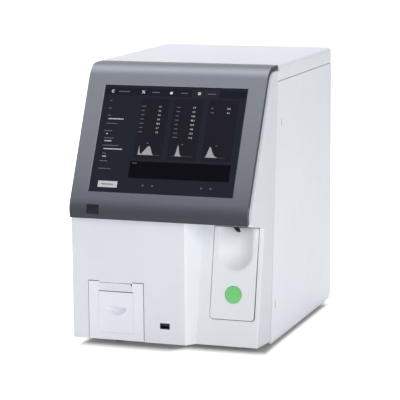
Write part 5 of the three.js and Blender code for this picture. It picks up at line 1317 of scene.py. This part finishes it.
class ANALYZER_OT_stage(bpy.types.Operator):
    """Sets the camera, the pale floor and the soft studio light"""
    bl_idname = "analyzer.stage"
    bl_label = "Stage"

    def execute(self, context):
        scene = bpy.context.scene
        camera = put("camera", bpy.data.cameras.new("camera"))
        camera.data.sensor_width = FILM
        camera.data.lens = FOCAL_LENGTH * FILM / PHOTO_SIDE
        camera.data.clip_start = 0.1
        camera.data.clip_end = 60.0
        pan, dip, roll = (Matrix.Rotation(math.radians(angle), 4, axis)
                          for angle, axis in ((PAN, "Z"), (90 - DIP, "X"), (ROLL, "Z")))
        camera.matrix_world = Matrix.Translation(at(*CAMERA_PLACE)) @ pan @ dip @ roll
        scene.camera = camera

        corners = rectangle(-FLOOR_REACH, FLOOR_REACH, -FLOOR_REACH, FLOOR_REACH)
        floor = bpy.data.meshes.new("floor")
        floor.from_pydata([(x, y, 0) for x, y in corners], [], [(0, 1, 2, 3)])
        floor.materials.append(self.paper())
        ground = put("floor", floor)

        scene.view_settings.view_transform = "Standard"
        self.sky(scene)
        for name, place, side, power in LAMPS:
            self.lamp(name, place, side, power)
        return {"FINISHED"}

    def paper(self):
        # Seamless white paper. It glows, so that it reads pure white away from the object, and round the object a
        # painted shadow adds to the real one: there the glow and the paper's tone fall, to match the photo.
        material, tree, shader = principled("seamless paper, white", Roughness=0.95, IOR=1.4)
        white = mottle(tree, shader, "Base Color", 0.4, linear("#fafafa"), linear("#fdfdfd"))
        shader.inputs["Emission Color"].default_value = linear("#ffffff")
        place = add(tree, "ShaderNodeTexCoord")
        centre = add(tree, "ShaderNodeVectorMath", links={0: place.outputs["Object"]}, operation="SUBTRACT")
        centre.inputs[1].default_value = (SHADE_INSET / 2, 0.0, 0.0)
        size = add(tree, "ShaderNodeVectorMath", links={0: centre.outputs["Vector"]}, operation="ABSOLUTE")
        past = add(tree, "ShaderNodeVectorMath", links={0: size.outputs["Vector"]}, operation="SUBTRACT")
        past.inputs[1].default_value = (CAD_BOX[1].x - SHADE_INSET / 2, CAD_BOX[1].y, 0.0)
        axes = add(tree, "ShaderNodeSeparateXYZ", links={"Vector": past.outputs["Vector"]})
        across = add(tree, "ShaderNodeSeparateXYZ", links={"Vector": place.outputs["Object"]})
        step = add(tree, "ShaderNodeMapRange", links={"Value": across.outputs["X"]}, interpolation_type="SMOOTHSTEP",
                   values={"From Min": STEP_BACK[0], "From Max": STEP_BACK[1], "To Min": 0.0,
                           "To Max": STEP_BACK[2]})
        back = add(tree, "ShaderNodeMath", links={0: axes.outputs["Y"], 1: step.outputs["Result"]}, operation="ADD")
        sides, ends = (
            add(tree, "ShaderNodeMapRange", links={"Value": source}, interpolation_type="SMOOTHSTEP",
                values={"From Min": painted_shade_fade[0], "From Max": painted_shade_fade[1], "To Min": GLOW[0], "To Max": GLOW[1]})
            for source, painted_shade_fade in ((axes.outputs["X"], SIDE_FADE), (back.outputs["Value"], END_FADE)))
        rise = add(tree, "ShaderNodeMath", links={0: sides.outputs["Result"], 1: ends.outputs["Result"]},
                   operation="MAXIMUM")
        tone = add(tree, "ShaderNodeMapRange", links={"Value": rise.outputs["Value"]},
                   values={"From Min": PAINTED_SHADOW_RUN[0], "From Max": PAINTED_SHADOW_RUN[1], "To Min": PAINTED_SHADOW_TONES[0], "To Max": PAINTED_SHADOW_TONES[1]})
        shadow = add(tree, "ShaderNodeVectorMath", operation="SCALE", links={
            0: white.outputs["Color"], "Scale": tone.outputs["Result"]})
        tree.links.new(shadow.outputs["Vector"], shader.inputs["Base Color"])
        seen = add(tree, "ShaderNodeLightPath")
        share = add(tree, "ShaderNodeMapRange", links={"Value": seen.outputs["Is Camera Ray"]},
                    values={"To Min": GLOW_SHARE, "To Max": 1.0})
        glow = add(tree, "ShaderNodeMath", links={0: rise.outputs["Value"], 1: share.outputs["Result"]},
                   operation="MULTIPLY")
        tree.links.new(glow.outputs["Value"], shader.inputs["Emission Strength"])
        return material

    def sky(self, scene):
        """An even studio, in which gloss sees a bright strip overhead."""
        world = bpy.data.worlds.new("studio")
        scene.world = world
        world.use_nodes = True
        tree = world.node_tree
        tree.nodes.clear()
        way = add(tree, "ShaderNodeTexCoord")
        axes = add(tree, "ShaderNodeSeparateXYZ", links={"Vector": way.outputs["Generated"]})
        front = add(tree, "ShaderNodeMath", links={0: axes.outputs["Y"]}, values={1: -1.0}, operation="MULTIPLY")
        turn = add(tree, "ShaderNodeMath", links={0: axes.outputs["Z"], 1: front.outputs["Value"]},
                   operation="ARCTAN2")
        share = add(tree, "ShaderNodeMapRange", links={"Value": turn.outputs["Value"]},
                    values={"From Min": 0.0, "From Max": math.pi})
        ramp = add(tree, "ShaderNodeValToRGB", links={"Fac": share.outputs["Result"]})
        ramp.color_ramp.interpolation = "B_SPLINE"
        set_stops(ramp.color_ramp, [(place, (level / STUDIO_PEAK,) * 3 + (1.0,)) for place, level in STUDIO])
        gloss = add(tree, "ShaderNodeBackground", links={"Color": ramp.outputs["Color"]},
                    values={"Strength": STUDIO_PEAK})
        even = add(tree, "ShaderNodeBackground", values={"Color": linear("#ffffff"), "Strength": EVEN_LIGHT})
        path = add(tree, "ShaderNodeLightPath")
        both = add(tree, "ShaderNodeMixShader", links={
            0: path.outputs["Is Glossy Ray"], 1: even.outputs["Background"], 2: gloss.outputs["Background"]})
        add(tree, "ShaderNodeOutputWorld", links={"Surface": both.outputs["Shader"]})

    def lamp(self, name, place, side, power):
        data = bpy.data.lights.new(name, "AREA")
        data.shape = "SQUARE"
        data.size = side
        data.energy = power
        lamp = put(name, data)
        lamp.location = place
        lamp.rotation_euler = (LAMP_AIM - Vector(place)).to_track_quat("-Z", "Y").to_euler()
        lamp.visible_glossy = False


class ANALYZER_PT_panel(bpy.types.Panel):
    """Lists the analyzer's sizes, colours and pieces"""
    bl_label = "Analyzer"
    bl_idname = "ANALYZER_PT_panel"
    bl_space_type = "VIEW_3D"
    bl_region_type = "UI"
    bl_category = "Analyzer"

    def draw(self, context):
        for group in GROUPS:
            box = self.layout.box()
            values = settings(group)
            for key in values.bl_rna.properties.keys():
                if key not in ("rna_type", "name"):
                    box.prop(values, key)
        for operator in OPERATORS:
            self.layout.operator(operator.bl_idname)


GROUPS = {"analyzer_display": DisplaySizes, "analyzer_panel": SamplePanelSizes, "analyzer_recorder": RecorderSizes,
          "analyzer_colours": FinishColours, "analyzer_edges": SoftEdges}
OPERATORS = (ANALYZER_OT_stage, ANALYZER_OT_covers, ANALYZER_OT_bezel, ANALYZER_OT_display,
             ANALYZER_OT_sample_port, ANALYZER_OT_recorder, ANALYZER_OT_insides, ANALYZER_OT_repeats)
CLASSES = tuple(GROUPS.values()) + OPERATORS + (ANALYZER_PT_panel,)


def register():
    for cls in CLASSES:
        bpy.utils.register_class(cls)
    for name, cls in GROUPS.items():
        setattr(bpy.types.Scene, name, bpy.props.PointerProperty(type=cls))


def unregister():
    for name in GROUPS:
        delattr(bpy.types.Scene, name)
    for cls in reversed(CLASSES):
        bpy.utils.unregister_class(cls)


def main():
    register()
    make_materials()
    for operator in OPERATORS:
        group, name = operator.bl_idname.split(".")
        getattr(getattr(bpy.ops, group), name)()


if __name__ == "__main__":
    main()
